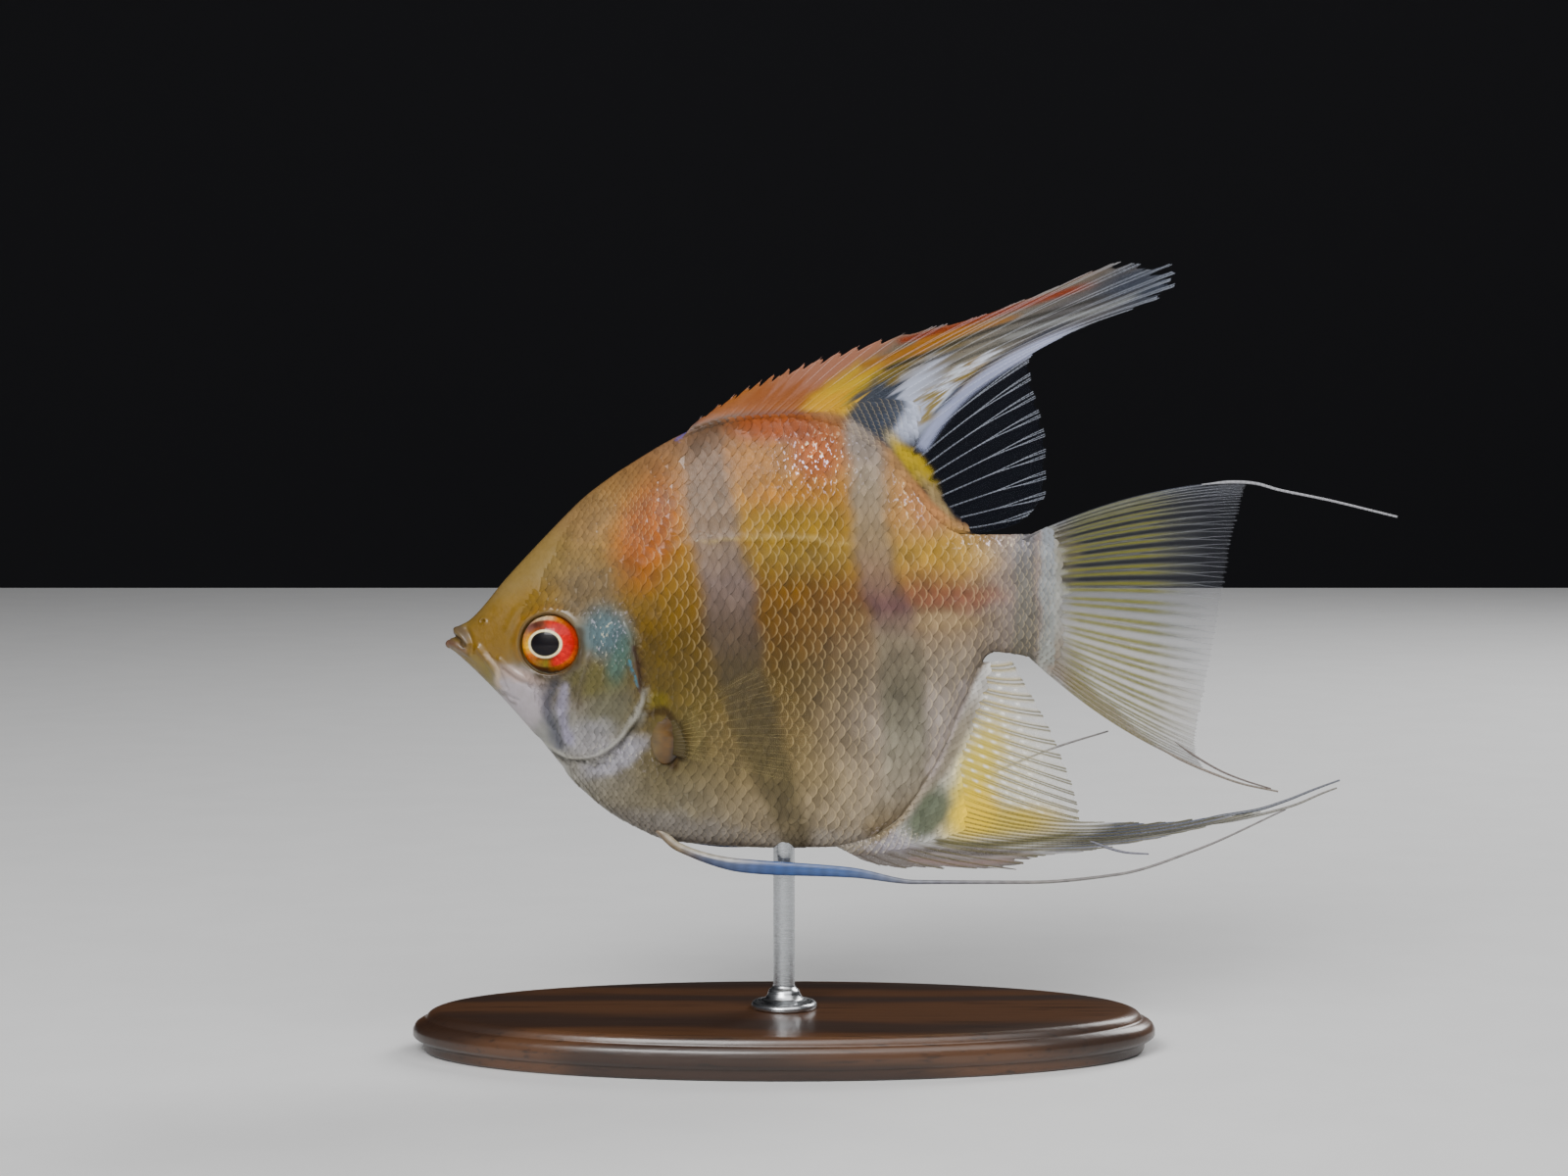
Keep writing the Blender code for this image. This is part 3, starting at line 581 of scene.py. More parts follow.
sheen = {
    "rims": (0.95, 0.35, 0.3, 0.5),  # on the body, lost on the head, on a bar, on back and breast
    "head": (-29, -8, 12, 20, 20),  # turned ovals
    "breast": (-14, -27, 10, 8, -20),
    "silver": (0.1, 0.35),  # everywhere, and added low on the body
}
# painted glints, laid into the colour of the scales
glints = [  # x, height, size along and up, strength
    (4.5, 17.5, 5.0, 3.4, 1.0), (17.5, 13.0, 2.4, 3.4, 0.8), (28.5, 6.6, 4.5, 1.3, 0.7),
    (-24.3, -6.0, 3.0, 3.6, 0.5), (-22.5, -22.5, 5.0, 2.5, 0.35), (14.0, -34.0, 5.0, 2.0, 0.3),
]


def bodyLustre(x, height):
    # red: how light a scale's edge is; green: silver; blue: painted glints
    bar = np.zeros_like(x)
    for name in ("second", "third"):
        far, _ = lineDistance(x, height, bars[name]["line"])
        bar = np.maximum(bar, nearLine(far, 3.2, 0.8))
    head = 1 - smoothStep(0.85, 1.5, ovalDistance(x, height, *sheen["head"]))
    breast = 1 - smoothStep(0.5, 1.5, ovalDistance(x, height, *sheen["breast"]))
    bodyRim, lost, barRim, plainRim = sheen["rims"]
    rim = (bodyRim - lost * head) * (1 - bar) + barRim * bar
    rim = rim + (plainRim - rim) * smoothStep(11, 18, height)
    rim = rim + (plainRim - rim) * 0.7 * breast
    silver = sheen["silver"][0] + sheen["silver"][1] * smoothStep(-14, -30, height)
    glint = sum(strength * np.exp(-(((x - atX) / long) ** 2) - ((height - atHeight) / tall) ** 2)
                for atX, atHeight, long, tall, strength in glints)
    return np.stack([rim, silver, np.clip(glint, 0, 1)], -1)


# the skin: one closed sheet over head, trunk and tail base, with its folds

skin = {
    "pitch": [(-47, 0.12), (-40, 0.14), (-29, 0.17), (-20, 0.22), (-16, 0.34), (30, 0.36), (38, 0.24)],
    "halfRing": 125,  # faces from belly to back
    "noseRings": 5,
    "noseReach": 0.55,
    "unevenness": 0.05,
}

folds = {  # line, kind, width, height, reach behind a step, all in millimetres
    "mouth": ([(-46.7, -6.4), (-45.9, -6.7), (-45.2, -7.05), (-44.4, -7.8)], "bump", 0.24, -0.62, 0),
    "upperLip": ([(-45.8, -5.7), (-45.1, -6.2), (-44.5, -6.9), (-44.0, -7.7)], "bump", 0.45, 0.34, 0),
    "lowerLip": ([(-46.5, -7.75), (-45.7, -7.9), (-44.9, -8.3), (-44.1, -8.8)], "bump", 0.5, 0.34, 0),
    "lipCrease": ([(-44.2, -5.5), (-43.7, -6.4), (-43.3, -7.6), (-43.4, -8.8)], "bump", 0.36, -0.2, 0),
    "chinCrease": ([(-44.8, -9.5), (-44.0, -9.8), (-43.2, -10.6)], "bump", 0.3, -0.1, 0),
    "jawBone": ([(-42.4, -8.2), (-41.0, -10.0), (-39.6, -12.4), (-39.2, -14.0)], "bump", 0.5, 0.34, 0),
    "jawBoneEdge": ([(-41.0, -9.0), (-39.6, -11.2), (-38.6, -13.8)], "bump", 0.22, -0.26, 0),
    "jawFold": ([(-39.6, -13.9), (-38.6, -14.9), (-37.0, -15.5)], "bump", 0.24, -0.16, 0),
    "underEyeBone": ([(-39.4, -9.8), (-37.2, -11.6), (-34.0, -12.6), (-30.6, -12.3), (-28.0, -10.2)],
                     "bump", 0.45, 0.24, 0),
    "underEyeCrease": ([(-39.0, -11.2), (-36.6, -12.8), (-33.4, -13.6), (-30.0, -13.2)], "bump", 0.3, -0.2,
                       0),
    "browBone": ([(-38.0, -5.4), (-36.4, -2.8), (-33.4, -1.6), (-29.8, -2.2), (-27.4, -4.6)], "bump", 0.7,
                 0.22, 0),
    "cheekPlate": ([(-26.4, -8.2), (-27.6, -12.0), (-28.6, -16.4), (-28.9, -19.2), (-31.2, -21.2)], "step",
                   0.22, 0.34, 2.2),
    "cheekPlateInner": ([(-28.4, -9.6), (-29.6, -13.4), (-30.4, -17.0), (-32.2, -19.0)], "bump", 0.35,
                        -0.14, 0),
    "gillCover": ([(-22.8, -2.4), (-21.0, -5.4), (-20.2, -9.0), (-19.6, -13.0), (-19.2, -15.8),
                   (-22.0, -20.2), (-25.4, -22.9), (-29.2, -23.5), (-32.0, -22.7), (-33.8, -21.6)], "step",
                  0.2, 0.62, 3.2),
    "gillSlit": ([(-22.3, -2.2), (-20.5, -5.4), (-19.75, -9.0), (-19.1, -13.0), (-18.6, -15.9),
                  (-21.6, -20.6), (-25.2, -23.5), (-29.1, -24.15), (-32.2, -23.2)], "bump", 0.3, -0.5, 0),
    "throat": ([(-34.4, -21.6), (-33.0, -23.2), (-31.4, -25.2)], "bump", 0.9, -0.3, 0),
    "shoulderBone": ([(-18.0, -4.0), (-17.0, -9.0), (-16.6, -14.0)], "bump", 0.9, 0.16, 0),
    "sideLine": ([(-19.5, 3.4), (-14, 6.2), (-8, 7.2), (0, 7.2), (8, 6.4)], "bump", 0.45, 0.1, 0),
    "sideLineRear": ([(8.5, -2.6), (17, -1.9), (24.5, -2.0), (33, -1.6)], "bump", 0.45, 0.08, 0),
}

nostril = {"at": (-41.8, -4.45), "radius": 0.24, "depth": 0.5, "rim": 0.16}


def foldHeight(x, height):
    total = np.zeros_like(x)
    for line, kind, width, rise, reach in folds.values():
        ends = np.array(line)
        margin = 3 * width + reach + 1
        near = ((x > ends[:, 0].min() - margin) & (x < ends[:, 0].max() + margin)
                & (height > ends[:, 1].min() - margin) & (height < ends[:, 1].max() + margin))
        far, passed = lineDistance(x[near], height[near], line)
        if kind == "bump":
            total[near] += rise * np.exp(-((far / width) ** 2))
        else:
            # raised on the line's right hand, falling off sharply on its left, and fading at its ends
            ends = smoothStep(0, 0.1, passed) * smoothStep(1, 0.78, passed)
            slope = smoothStep(width, -width, far) * np.exp(-np.maximum(-far, 0) / reach)
            total[near] += rise * slope * ends
    total *= smoothStep(-47.0, -46.3, x)
    far = np.hypot(x - nostril["at"][0], height - nostril["at"][1]) / nostril["radius"]
    total += nostril["rim"] * np.exp(-((far - 1.7) ** 2) / 0.35) - nostril["depth"] * np.exp(-(far**2))
    return total


def stationsFor(pitch, start, end):
    places = [start]
    while places[-1] < end:
        places.append(places[-1] + float(pitch(places[-1])))
    return np.array(places[:-1] + [end])


def ringsToGrid(profiles, xs):
    # left side from belly to back, then the right side back down
    widths, heights = profiles[..., 0], profiles[..., 1]
    y = np.concatenate([-widths, widths[:, -2:0:-1]], 1)
    h = np.concatenate([heights, heights[:, -2:0:-1]], 1)
    return np.stack([np.broadcast_to(xs[:, None], y.shape), y, h], -1)


def gridNormals(grid):
    along = np.gradient(grid, axis=0)
    around = np.roll(grid, -1, 1) - np.roll(grid, 1, 1)
    normals = np.cross(along, around)
    return normals / np.maximum(np.linalg.norm(normals, axis=-1, keepdims=True), 1e-9)


def eyeFrame(sign):
    # centre on the skin, and axes towards the tail, up and out of the head
    x, height = eye["place"]
    slopeX = (widthAt(x + 1, height) - widthAt(x - 1, height)) / 2 * eye["turn"]
    slopeH = (widthAt(x, height + 1) - widthAt(x, height - 1)) / 2 * eye["turn"]
    out = np.array([-slopeX, sign, -slopeH])
    out /= np.linalg.norm(out)
    rear = np.array([1.0, 0, 0]) - out * out[0]
    rear /= np.linalg.norm(rear)
    up = np.cross(rear, out) * -sign
    return np.array([x, sign * float(widthAt(x, height)), height]), rear, up, out


def ballDepth(far):
    # how far in or out of the skin the eyeball's front lies, at a distance from its axis
    inside = np.clip(far / eye["radius"], 0, 1)
    return eye["proud"] - eye["depth"] * (1 - np.sqrt(1 - inside**2))


eyeSocket = {
    "under": 0.55,  # the gap left behind the eyeball
    "edge": (4.35, 3.85),  # where the skin starts to sink, and where it has sunk
    "reach": 8.0,
    "rings": [(0.22, 4.65, 0.42), (-0.1, 5.7, 0.5)],  # a rim and a moat: height, distance, width
}


def openSocket(grid, sign):
    centre, rear, up, out = eyeFrame(sign)
    local = grid - centre
    far = np.hypot(local @ rear, local @ up)
    depth = local @ out
    move = (ballDepth(far) - eyeSocket["under"] - depth) * smoothStep(*eyeSocket["edge"], far)
    for high, at, wide in eyeSocket["rings"]:
        move += high * np.exp(-(((far - at) / wide) ** 2))
    near = (grid[..., 1] * sign > 0) & (far < eyeSocket["reach"])
    return grid + np.where(near, move, 0)[..., None] * out


def skinGrid():
    xs = stationsFor(through(skin["pitch"]), body["back"][0][0], tailWedge["end"])
    grid = ringsToGrid(sideProfiles(xs, skin["halfRing"] + 1), xs)
    normals = gridNormals(grid)
    x, height = grid[..., 0], grid[..., 2]
    room = smoothStep(0.1, 0.9, abs(grid[..., 1]).max(1, keepdims=True))  # the ends are too thin to sink
    lift = foldHeight(x.ravel(), height.ravel()).reshape(x.shape) - body["coatDepth"] * room
    lift += skin["unevenness"] * (cloud(x, height, 1.6) - 0.5) * smoothStep(-38, -30, x)
    moved = grid + normals * (lift * smoothStep(0, 0.5, abs(grid[..., 1]) + 0.42))[..., None]
    # neither side may cross the middle
    half = np.sign(grid[..., 1])
    moved[..., 1] = half * np.maximum(half * moved[..., 1], 0.2 * abs(grid[..., 1]))
    grid = moved
    for sign in sides.values():
        grid = openSocket(grid, sign)
    # round off the nose
    centre = grid[0].mean(0)
    caps = []
    for ring in range(skin["noseRings"]):
        share = math.sin(math.pi / 2 * (ring + 0.3) / skin["noseRings"])
        out = skin["noseReach"] * math.sqrt(1 - share**2)
        caps.append(centre + (grid[0] - centre) * share - np.array([out, 0, 0]))
    return np.concatenate([np.array(caps), grid])


def makeSkin(material):
    grid = skinGrid()
    rows, columns = grid.shape[:2]
    mesh = meshOf("skin", place(grid), shellFaces(rows, columns), material)
    flat = grid.reshape(-1, 3)
    setColours(mesh, "marks", bodyColours(flat[:, 0], flat[:, 2]))
    setColours(mesh, "lustre", bodyLustre(flat[:, 0], flat[:, 2]))
    u = np.linspace(0.01, 0.99, rows)
    v = (np.arange(columns) + 0.5) / (columns + 1)
    unwrapped = np.stack(np.broadcast_arrays(u[:, None], v[None, :]), -1).reshape(-1, 2)
    setUv(mesh, "OFBake", unwrapped)
    closeSeam(mesh, columns)
    piece = addPiece("skin", mesh, "skin", "head", "lower_jaw", "gill_cover_left", "gill_cover_right",
                     "trunk", "tail_base")
    print("skin made:", rows, "by", columns, "points")
    return piece


def skinMaterial():
    w = Material("skin")
    at = w.objectPlace()
    marks = w.attribute("marks")["Color"]
    lustre = w.parts(w.attribute("lustre")["Color"])
    mottle = w.noise(at, 900.0, 4.0)
    speck = w.noise(at, 3200.0, 2.0)
    tone = w.mix(w.remap(mottle, 0.35, 0.65), marks, (0.92, 0.92, 0.9), "MULTIPLY")
    tone = w.mix(w.remap(speck, 0.6, 0.75, 0.0, 0.3), tone, w.mix(0.5, marks, (0.02, 0.018, 0.015)))
    rough = w.remap(w.noise(at, 1500.0), 0.3, 0.7, 0.34, 0.5)
    normal = w.bump(w.noise(at, 2600.0, 3.0), 0.22, 0.00012)
    return w.set(Base_Color=tone, Roughness=rough, Metallic=w.math("MULTIPLY", lustre[1], 0.35),
                 Normal=normal, Specular_IOR_Level=0.35, Coat_Weight=0.22, Coat_Roughness=0.18)


skinPiece = makeSkin(skinMaterial())


# the eyes

iris = {
    "rings": 84,
    "spokes": 132,
    "pupil": (-0.42, -0.08, 2.04, 1.66),  # its middle, along the axes to the rear and up, and half sizes
    "paleRing": 0.32,
    "edge": 3.98,
    "tones": {  # angle from the rear, over the top: colours near the pupil, between, and at the rim
        0: [(190, 42, 0), (178, 24, 0), (186, 78, 26)],
        35: [(186, 34, 0), (200, 38, 0), (226, 122, 20)],
        64: [(138, 40, 4), (208, 62, 0), (156, 88, 22)],
        78: [(84, 48, 14), (156, 62, 18), (120, 80, 28)],
        96: [(92, 72, 22), (114, 104, 24), (60, 38, 8)],
        125: [(110, 60, 12), (136, 94, 22), (86, 48, 6)],
        150: [(196, 116, 18), (164, 86, 12), (116, 64, 8)],
        172: [(226, 186, 60), (210, 154, 20), (172, 108, 16)],
        195: [(204, 152, 66), (186, 134, 92), (190, 150, 136)],
        215: [(140, 88, 58), (110, 80, 74), (180, 144, 140)],
        235: [(108, 58, 42), (66, 38, 32), (190, 160, 128)],
        255: [(108, 48, 32), (98, 58, 46), (198, 178, 150)],
        270: [(156, 40, 16), (174, 66, 34), (190, 160, 128)],
        288: [(168, 32, 0), (162, 32, 0), (168, 108, 60)],
        322: [(182, 34, 0), (176, 30, 0), (164, 68, 20)],
    },
    "pupilTone": (5, 5, 10),
    "paleTone": (238, 226, 188),
    "edgeTone": (86, 66, 12),
}


def irisColours(rear, up):
    angle = np.degrees(np.arctan2(up, rear)) % 360
    far = np.hypot(rear, up)
    entries = [*iris["tones"].items(), (360, iris["tones"][0])]
    inner, between, rim = (blend([(stop, bands[k]) for stop, bands in entries], angle) for k in range(3))
    atX, atUp, long, tall = iris["pupil"]
    inPupil = ovalDistance(rear, up, atX, atUp, long, tall, 0)
    pale = 1 + iris["paleRing"] / math.sqrt(long * tall)
    share = np.clip((inPupil - pale) / (iris["edge"] / math.sqrt(long * tall) - pale), 0, 1)
    colours = lay(inner, between, smoothStep(0.05, 0.45, share))
    colours = lay(colours, rim, smoothStep(0.68, 0.92, share))
    fibres = cloud(angle / 4, far * 1.2, 1.0) + 0.5 * cloud(angle / 1.6, far * 2.5, 1.0, 4)
    colours = colours * (0.72 + 0.4 * fibres)[:, None]
    colours = lay(colours, linear(*iris["paleTone"]), smoothStep(pale + 0.07, pale - 0.03, inPupil))
    colours = lay(colours, linear(*iris["pupilTone"]), smoothStep(1.06, 0.97, inPupil))
    edge = smoothStep(iris["edge"] - 0.1, iris["edge"] + 0.1, far)
    return lay(colours, linear(*iris["edgeTone"]), 0.9 * edge)


def makeEye(name, sign, material):
    centre, rear, up, out = eyeFrame(sign)
    far = eye["radius"] * np.sin(np.linspace(0, math.pi / 2, iris["rings"] + 1))[1:]
    angles = np.linspace(0, 2 * math.pi, iris["spokes"], endpoint=False)
    spread = np.concatenate([far, far[-2::-1]])
    bulge = np.concatenate([ballDepth(far), 2 * (eye["proud"] - eye["depth"]) - ballDepth(far[-2::-1])])
    across, over = spread[:, None] * np.cos(angles), spread[:, None] * np.sin(angles)
    places = centre + across[..., None] * rear + over[..., None] * up + bulge[:, None, None] * out
    poles = [centre + eye["proud"] * out, centre + (eye["proud"] - 2 * eye["depth"]) * out]
    rows, columns = across.shape
    points = np.vstack([places.reshape(-1, 3), poles])
    mesh = meshOf(name, place(points), shellFaces(rows, columns, poles=True), material)
    setColours(mesh, "marks", irisColours(np.append(across, [0, 0]), np.append(over, [0, 0])))
    addPiece(name, mesh, "eyes", name)


def eyeMaterial():
    w = Material("eye")
    marks = w.attribute("marks")["Color"]
    depth = w.noise(w.objectPlace(), 2600.0, 4.0)
    tone = w.mix(w.remap(depth, 0.35, 0.65, 0.0, 0.35), marks, w.mix(0.6, marks, (0.02, 0.008, 0.004)))
    return w.set(Base_Color=tone, Roughness=0.4, Specular_IOR_Level=0.15, Coat_Weight=0.42,
                 Coat_Roughness=0.02, Coat_IOR=1.28)


orbit = {"radius": 4.45, "lift": -0.26, "wide": 0.28, "high": 0.3, "tone": (64, 46, 12), "steps": (180, 14)}


def makeOrbit(name, sign, material):
    # the fold of skin round the eye
    centre, rear, up, out = eyeFrame(sign)
    rows, columns = orbit["steps"]
    angles, turns = (np.linspace(0, 2 * math.pi, steps, endpoint=False) for steps in orbit["steps"])
    across, over = np.cos(angles), np.sin(angles)
    flat = centre + orbit["radius"] * (across[:, None] * rear + over[:, None] * up)
    surface = np.stack([flat[:, 0], sign * widthAt(flat[:, 0], flat[:, 2]), flat[:, 2]], -1)
    lift = (surface - centre) @ out + orbit["lift"] + 0.1 * cloud(3 * across, 3 * over, 1.4)
    wide = orbit["wide"] + 0.08 * cloud(4 * across, 4 * over, 1.0, 3)
    rim = orbit["radius"] + wide[:, None] * np.cos(turns)
    high = lift[:, None] + orbit["high"] * np.sin(turns)
    points = (centre + (rim * across[:, None])[..., None] * rear + (rim * over[:, None])[..., None] * up
              + high[..., None] * out).reshape(-1, 3)
    mesh = meshOf(name, place(points), gridFaces(rows, columns, wrap=True, loop=True), material)
    # the fold takes a dark olive tone, darkest on its inner side towards the eye: partly its own colour,
    # partly painted shade
    inner = np.tile(smoothStep(-0.2, 1.0, -np.cos(turns)), rows)
    colours = bodyColours(points[:, 0], points[:, 2])
    setColours(mesh, "marks", lay(colours, linear(*orbit["tone"]), 0.5 + 0.35 * inner))
    setColours(mesh, "lustre", np.zeros((len(points), 3)))
    addPiece(name, mesh, "skin", "head")


eyeLook = eyeMaterial()
for side, sign in sides.items():
    makeEye("eye_" + side, sign, eyeLook)
    makeOrbit("orbit_" + side, sign, skinPiece.data.materials[0])
print("eyes made")


# tubes along paths: fin rays, filaments and feelers

def tubeTree():
    t = Shaping("tubes", "Tubes", Paths="Geometry", Sides="Int", Material="Material")
    curve = t.run("GeometryNodeMeshToCurve", Mesh=t.given["Paths"])
    upright = t.run("GeometryNodeSetCurveNormal", {"mode": "Z_UP"}, Curve=curve)
    ring = t.run("GeometryNodeCurvePrimitiveCircle", Resolution=t.given["Sides"], Radius=1.0)
    tube = t.run("GeometryNodeCurveToMesh", Curve=upright, Profile_Curve=ring, Scale=t.named("thick"),
                 Fill_Caps=True)
    return t.finish(t.run("GeometryNodeRealizeInstances", Geometry=tube))


def runTree(item, tree, **inputs):
    # run a tree on an object and return its result as a plain mesh
    modifier = item.modifiers.new("nodes", "NODES")
    modifier.node_group = tree
    for socket in tree.interface.items_tree:
        key = socket.name.replace(" ", "_")
        if key in inputs:
            modifier[socket.identifier] = inputs[key]
    item.update_tag()
    deps = bpy.context.evaluated_depsgraph_get()
    deps.update()
    mesh = bpy.data.meshes.new_from_object(item.evaluated_get(deps))
    source = item.data
    bpy.data.objects.remove(item)
    bpy.data.meshes.remove(source)
    return mesh


tubes = tubeTree()


def tubeMesh(name, paths, material, around=6):
    # paths are lists of (x, y, height, radius) rows
    points = np.vstack(paths)
    starts = np.cumsum([0] + [len(path) for path in paths])
    edges = [(a, a + 1) for s, e in zip(starts, starts[1:]) for a in range(s, e - 1)]
    mesh = bpy.data.meshes.new(name)
    mesh.from_pydata(place(points[:, :3]).tolist(), edges, [])
    along = np.concatenate([lengthAlong(path[:, :3]) for path in paths])
    addNumbers(mesh, thick=points[:, 3] * mm, along=along)
    made = runTree(newObject(name + "_paths", mesh), tubes, Sides=around, Material=material)
    made.name = name
    made.shade_smooth()
    return made


# the fins

dorsalFin = {
    "slot": "dorsal_fin",
    "rays": [
        (0.0, (-13.6, 21.4), (-13.1, 21.9), (-12.5, 23.2)),
        (0.08, (-9.8, 22.9), (-8.2, 24.5), (-5.5, 27.7)),
        (0.16, (-5.7, 23.7), (-3.1, 26.3), (0.0, 30.2)),
        (0.32, (1.6, 24.0), (6.8, 28.6), (17.0, 35.5)),
        (0.36, (3.4, 23.8), (9.5, 29.1), (26.0, 37.4)),
        (0.40, (5.2, 23.4), (12.3, 29.8), (35.4, 40.8)),
        (0.46, (7.9, 22.6), (17.0, 31.3), (47.7, 45.3)),
        (0.52, (10.4, 21.4), (21.8, 31.6), (55.5, 44.0)),
        (0.58, (12.3, 20.2), (26.5, 32.8), (52.5, 40.5)),
        (0.64, (14.0, 18.7), (25.0, 29.4), (41.6, 36.3)),
        (0.70, (15.7, 16.9), (24.5, 25.4), (34.0, 31.6)),
        (0.86, (19.6, 12.4), (27.9, 16.6), (36.3, 19.8)),
        (0.94, (22.4, 9.6), (28.8, 11.2), (36.4, 13.4)),
        (1.0, (24.6, 7.6), (29.0, 7.2), (33.2, 9.3)),
    ],
    "count": [(0, 0), (0.33, 13), (0.62, 26), (1, 37)],  # rays passed at each share
    "foot": 2.4,  # how far up the web is solid
    "spines": 13,  # the first rays, which don't fork
    "radius": (0.17, 0.07),  # of a ray, at its foot and at its tip
    "tipCut": [(0, 0.8), (0.12, 1.3), (0.3, 1.3), (0.36, 0.4), (0.44, 0.7), (0.48, 1.0), (0.6, 1.0),
               (0.68, 0.35), (1, 0.35)],
    "flow": (38, 2.6),  # direction and distance that the marks stray along the rays
    "wave": 0.5,  # how far the fin waves from its middle plane
    "rows": 60,  # faces of the web from foot to tip
    "clarity": [(0, 0.97), (0.3, 0.93), (0.42, 0.75), (0.62, 0.4), (0.68, 0.26), (1, 0.26)],
    "webTone": (11, 16, 30),
    "rayTone": (190, 196, 208),
    "rayClarity": 0.55,  # rays are at least this solid
    "gain": 0.68,  # all the fin's colours are multiplied by this
    "spread": (0.13, 0.05, 0.5),  # how far the forks part, in gaps between rays, and where the first is
    "fray": [(0, 0), (0.44, 0), (0.48, 0.035), (0.6, 0.035), (0.66, 0.01), (1, 0.01)],
    "rayHide": 0.85,  # how far rays take the web's colour where it is solid
    "marks": {  # x, height, size along, size across, turn, softness, colour, strength, clarity
        "under": (24.0, 35.0, 36.0, 6.4, 24, 0.2, (116, 106, 92), 1.0, 0.8),
        "spiny": (-1.0, 26.5, 13.0, 5.5, 33, 0.5, (152, 96, 50), 1.0, 0.96),
        "spinyTop": (9.0, 33.3, 17.0, 2.6, 32, 0.5, (164, 118, 100), 0.95, 0.92),
        "spinyRust": (-4.0, 24.8, 8.0, 2.2, 15, 0.5, (142, 84, 38), 0.7, 0.97),
        "yellow": (8.4, 26.8, 6.2, 2.5, 34, 0.5, (204, 172, 50), 0.95, 0.95),
        "yellowBase": (5.2, 24.2, 4.0, 2.2, 35, 0.5, (206, 158, 30), 0.9, 0.98),
        "olive": (17.5, 31.0, 9.0, 1.5, 29, 0.5, (112, 96, 50), 0.9, 0.9),
        "goldEdge": (20.0, 34.0, 10.0, 0.9, 25, 0.6, (166, 112, 44), 0.85, 0.9),
        "palePatch": (19.0, 26.2, 6.4, 3.4, 55, 0.4, (206, 212, 230), 0.95, 0.85),
        "darkPatch": (13.0, 24.8, 4.4, 3.4, 45, 0.22, (57, 64, 76), 0.95, 0.95),
        "upperPale": (28.5, 33.4, 8.5, 2.0, 33, 0.5, (140, 136, 126), 0.75, 0.8),
        "spotOne": (20.4, 25.6, 1.3, 2.6, -10, 0.4, (142, 122, 50), 0.9, 0.85),
        "spotTwo": (24.6, 29.2, 1.5, 2.0, 20, 0.4, (142, 120, 60), 0.85, 0.8),
        "spotThree": (27.2, 31.5, 1.5, 0.9, 30, 0.4, (150, 124, 70), 0.8, 0.8),
        "whiteOne": (24.8, 30.6, 1.6, 0.8, 28, 0.4, (236, 242, 255), 0.9, 0.85),
        "whiteTwo": (28.4, 32.2, 1.7, 0.6, 30, 0.4, (236, 240, 255), 0.9, 0.85),
        "whiteThree": (22.0, 27.0, 0.8, 1.8, -10, 0.4, (230, 236, 255), 0.85, 0.8),
        "sheathGold": (17.8, 17.6, 4.6, 1.2, -50, 0.5, (188, 163, 49), 0.95, 0.98),
        "sheathTan": (21.6, 12.2, 4.4, 0.7, -53, 0.5, (162, 142, 108), 0.9, 0.98),
        "streamerGrey": (42.0, 39.0, 11.0, 3.0, 20, 0.6, (98, 98, 102), 0.8, 0.7),
        "tipGrey": (51.0, 43.0, 7.0, 3.4, 14, 0.6, (67, 73, 86), 0.9, 0.55),
    },
    "lines": {  # line, reach, softness, colour, strength, clarity
        "orange": ([(15, 34.0), (22, 35.9), (29, 38.0), (36, 40.2), (44.5, 42.6)], 0.45, 0.4, (130, 61, 10),
                   0.95, 0.85),
        "upperEdge": ([(12, 34.4), (20, 36.4), (28, 38.7), (36, 41.6), (46, 44.9)], 0.4, 0.35,
                      (128, 104, 92), 0.8, 0.7),
        "orangeUnder": ([(10, 30.6), (17, 33.0), (26, 35.8), (34, 38.2)], 0.35, 0.3, (150, 104, 36), 0.8,
                        0.9),
        "darkOne": ([(13, 30.0), (20, 32.6), (29, 36.0), (38, 38.6), (48, 41.4)], 0.26, 0.2, (44, 42, 36),
                    0.85, 0.9),
        "darkTwo": ([(16, 30.0), (24, 33.0), (34, 36.4), (44, 39.4), (52, 42.4)], 0.2, 0.2, (60, 58, 54),
                    0.8, 0.85),
        "darkThree": ([(22, 30.6), (30, 33.8), (38, 36.2), (47, 39.6)], 0.2, 0.2, (70, 68, 62), 0.7, 0.8),
        "lowerWhite": ([(18.6, 18.6), (21.4, 23.0), (25.0, 27.0), (29.4, 30.3), (34, 32.9), (43, 36.8)],
                       0.8, 0.5, (196, 202, 232), 0.85, 0.75),
        "lowerDark": ([(20.2, 23.6), (24.0, 27.6), (28.8, 31.4), (33.4, 34.0), (42, 38.2)], 0.18, 0.18,
                      (56, 60, 74), 0.8, 0.85),
        "paleOne": ([(30, 34.4), (36, 36.4), (44, 38.8), (50, 41)], 0.3, 0.3, (160, 162, 160), 0.6, 0.75),
    },
}

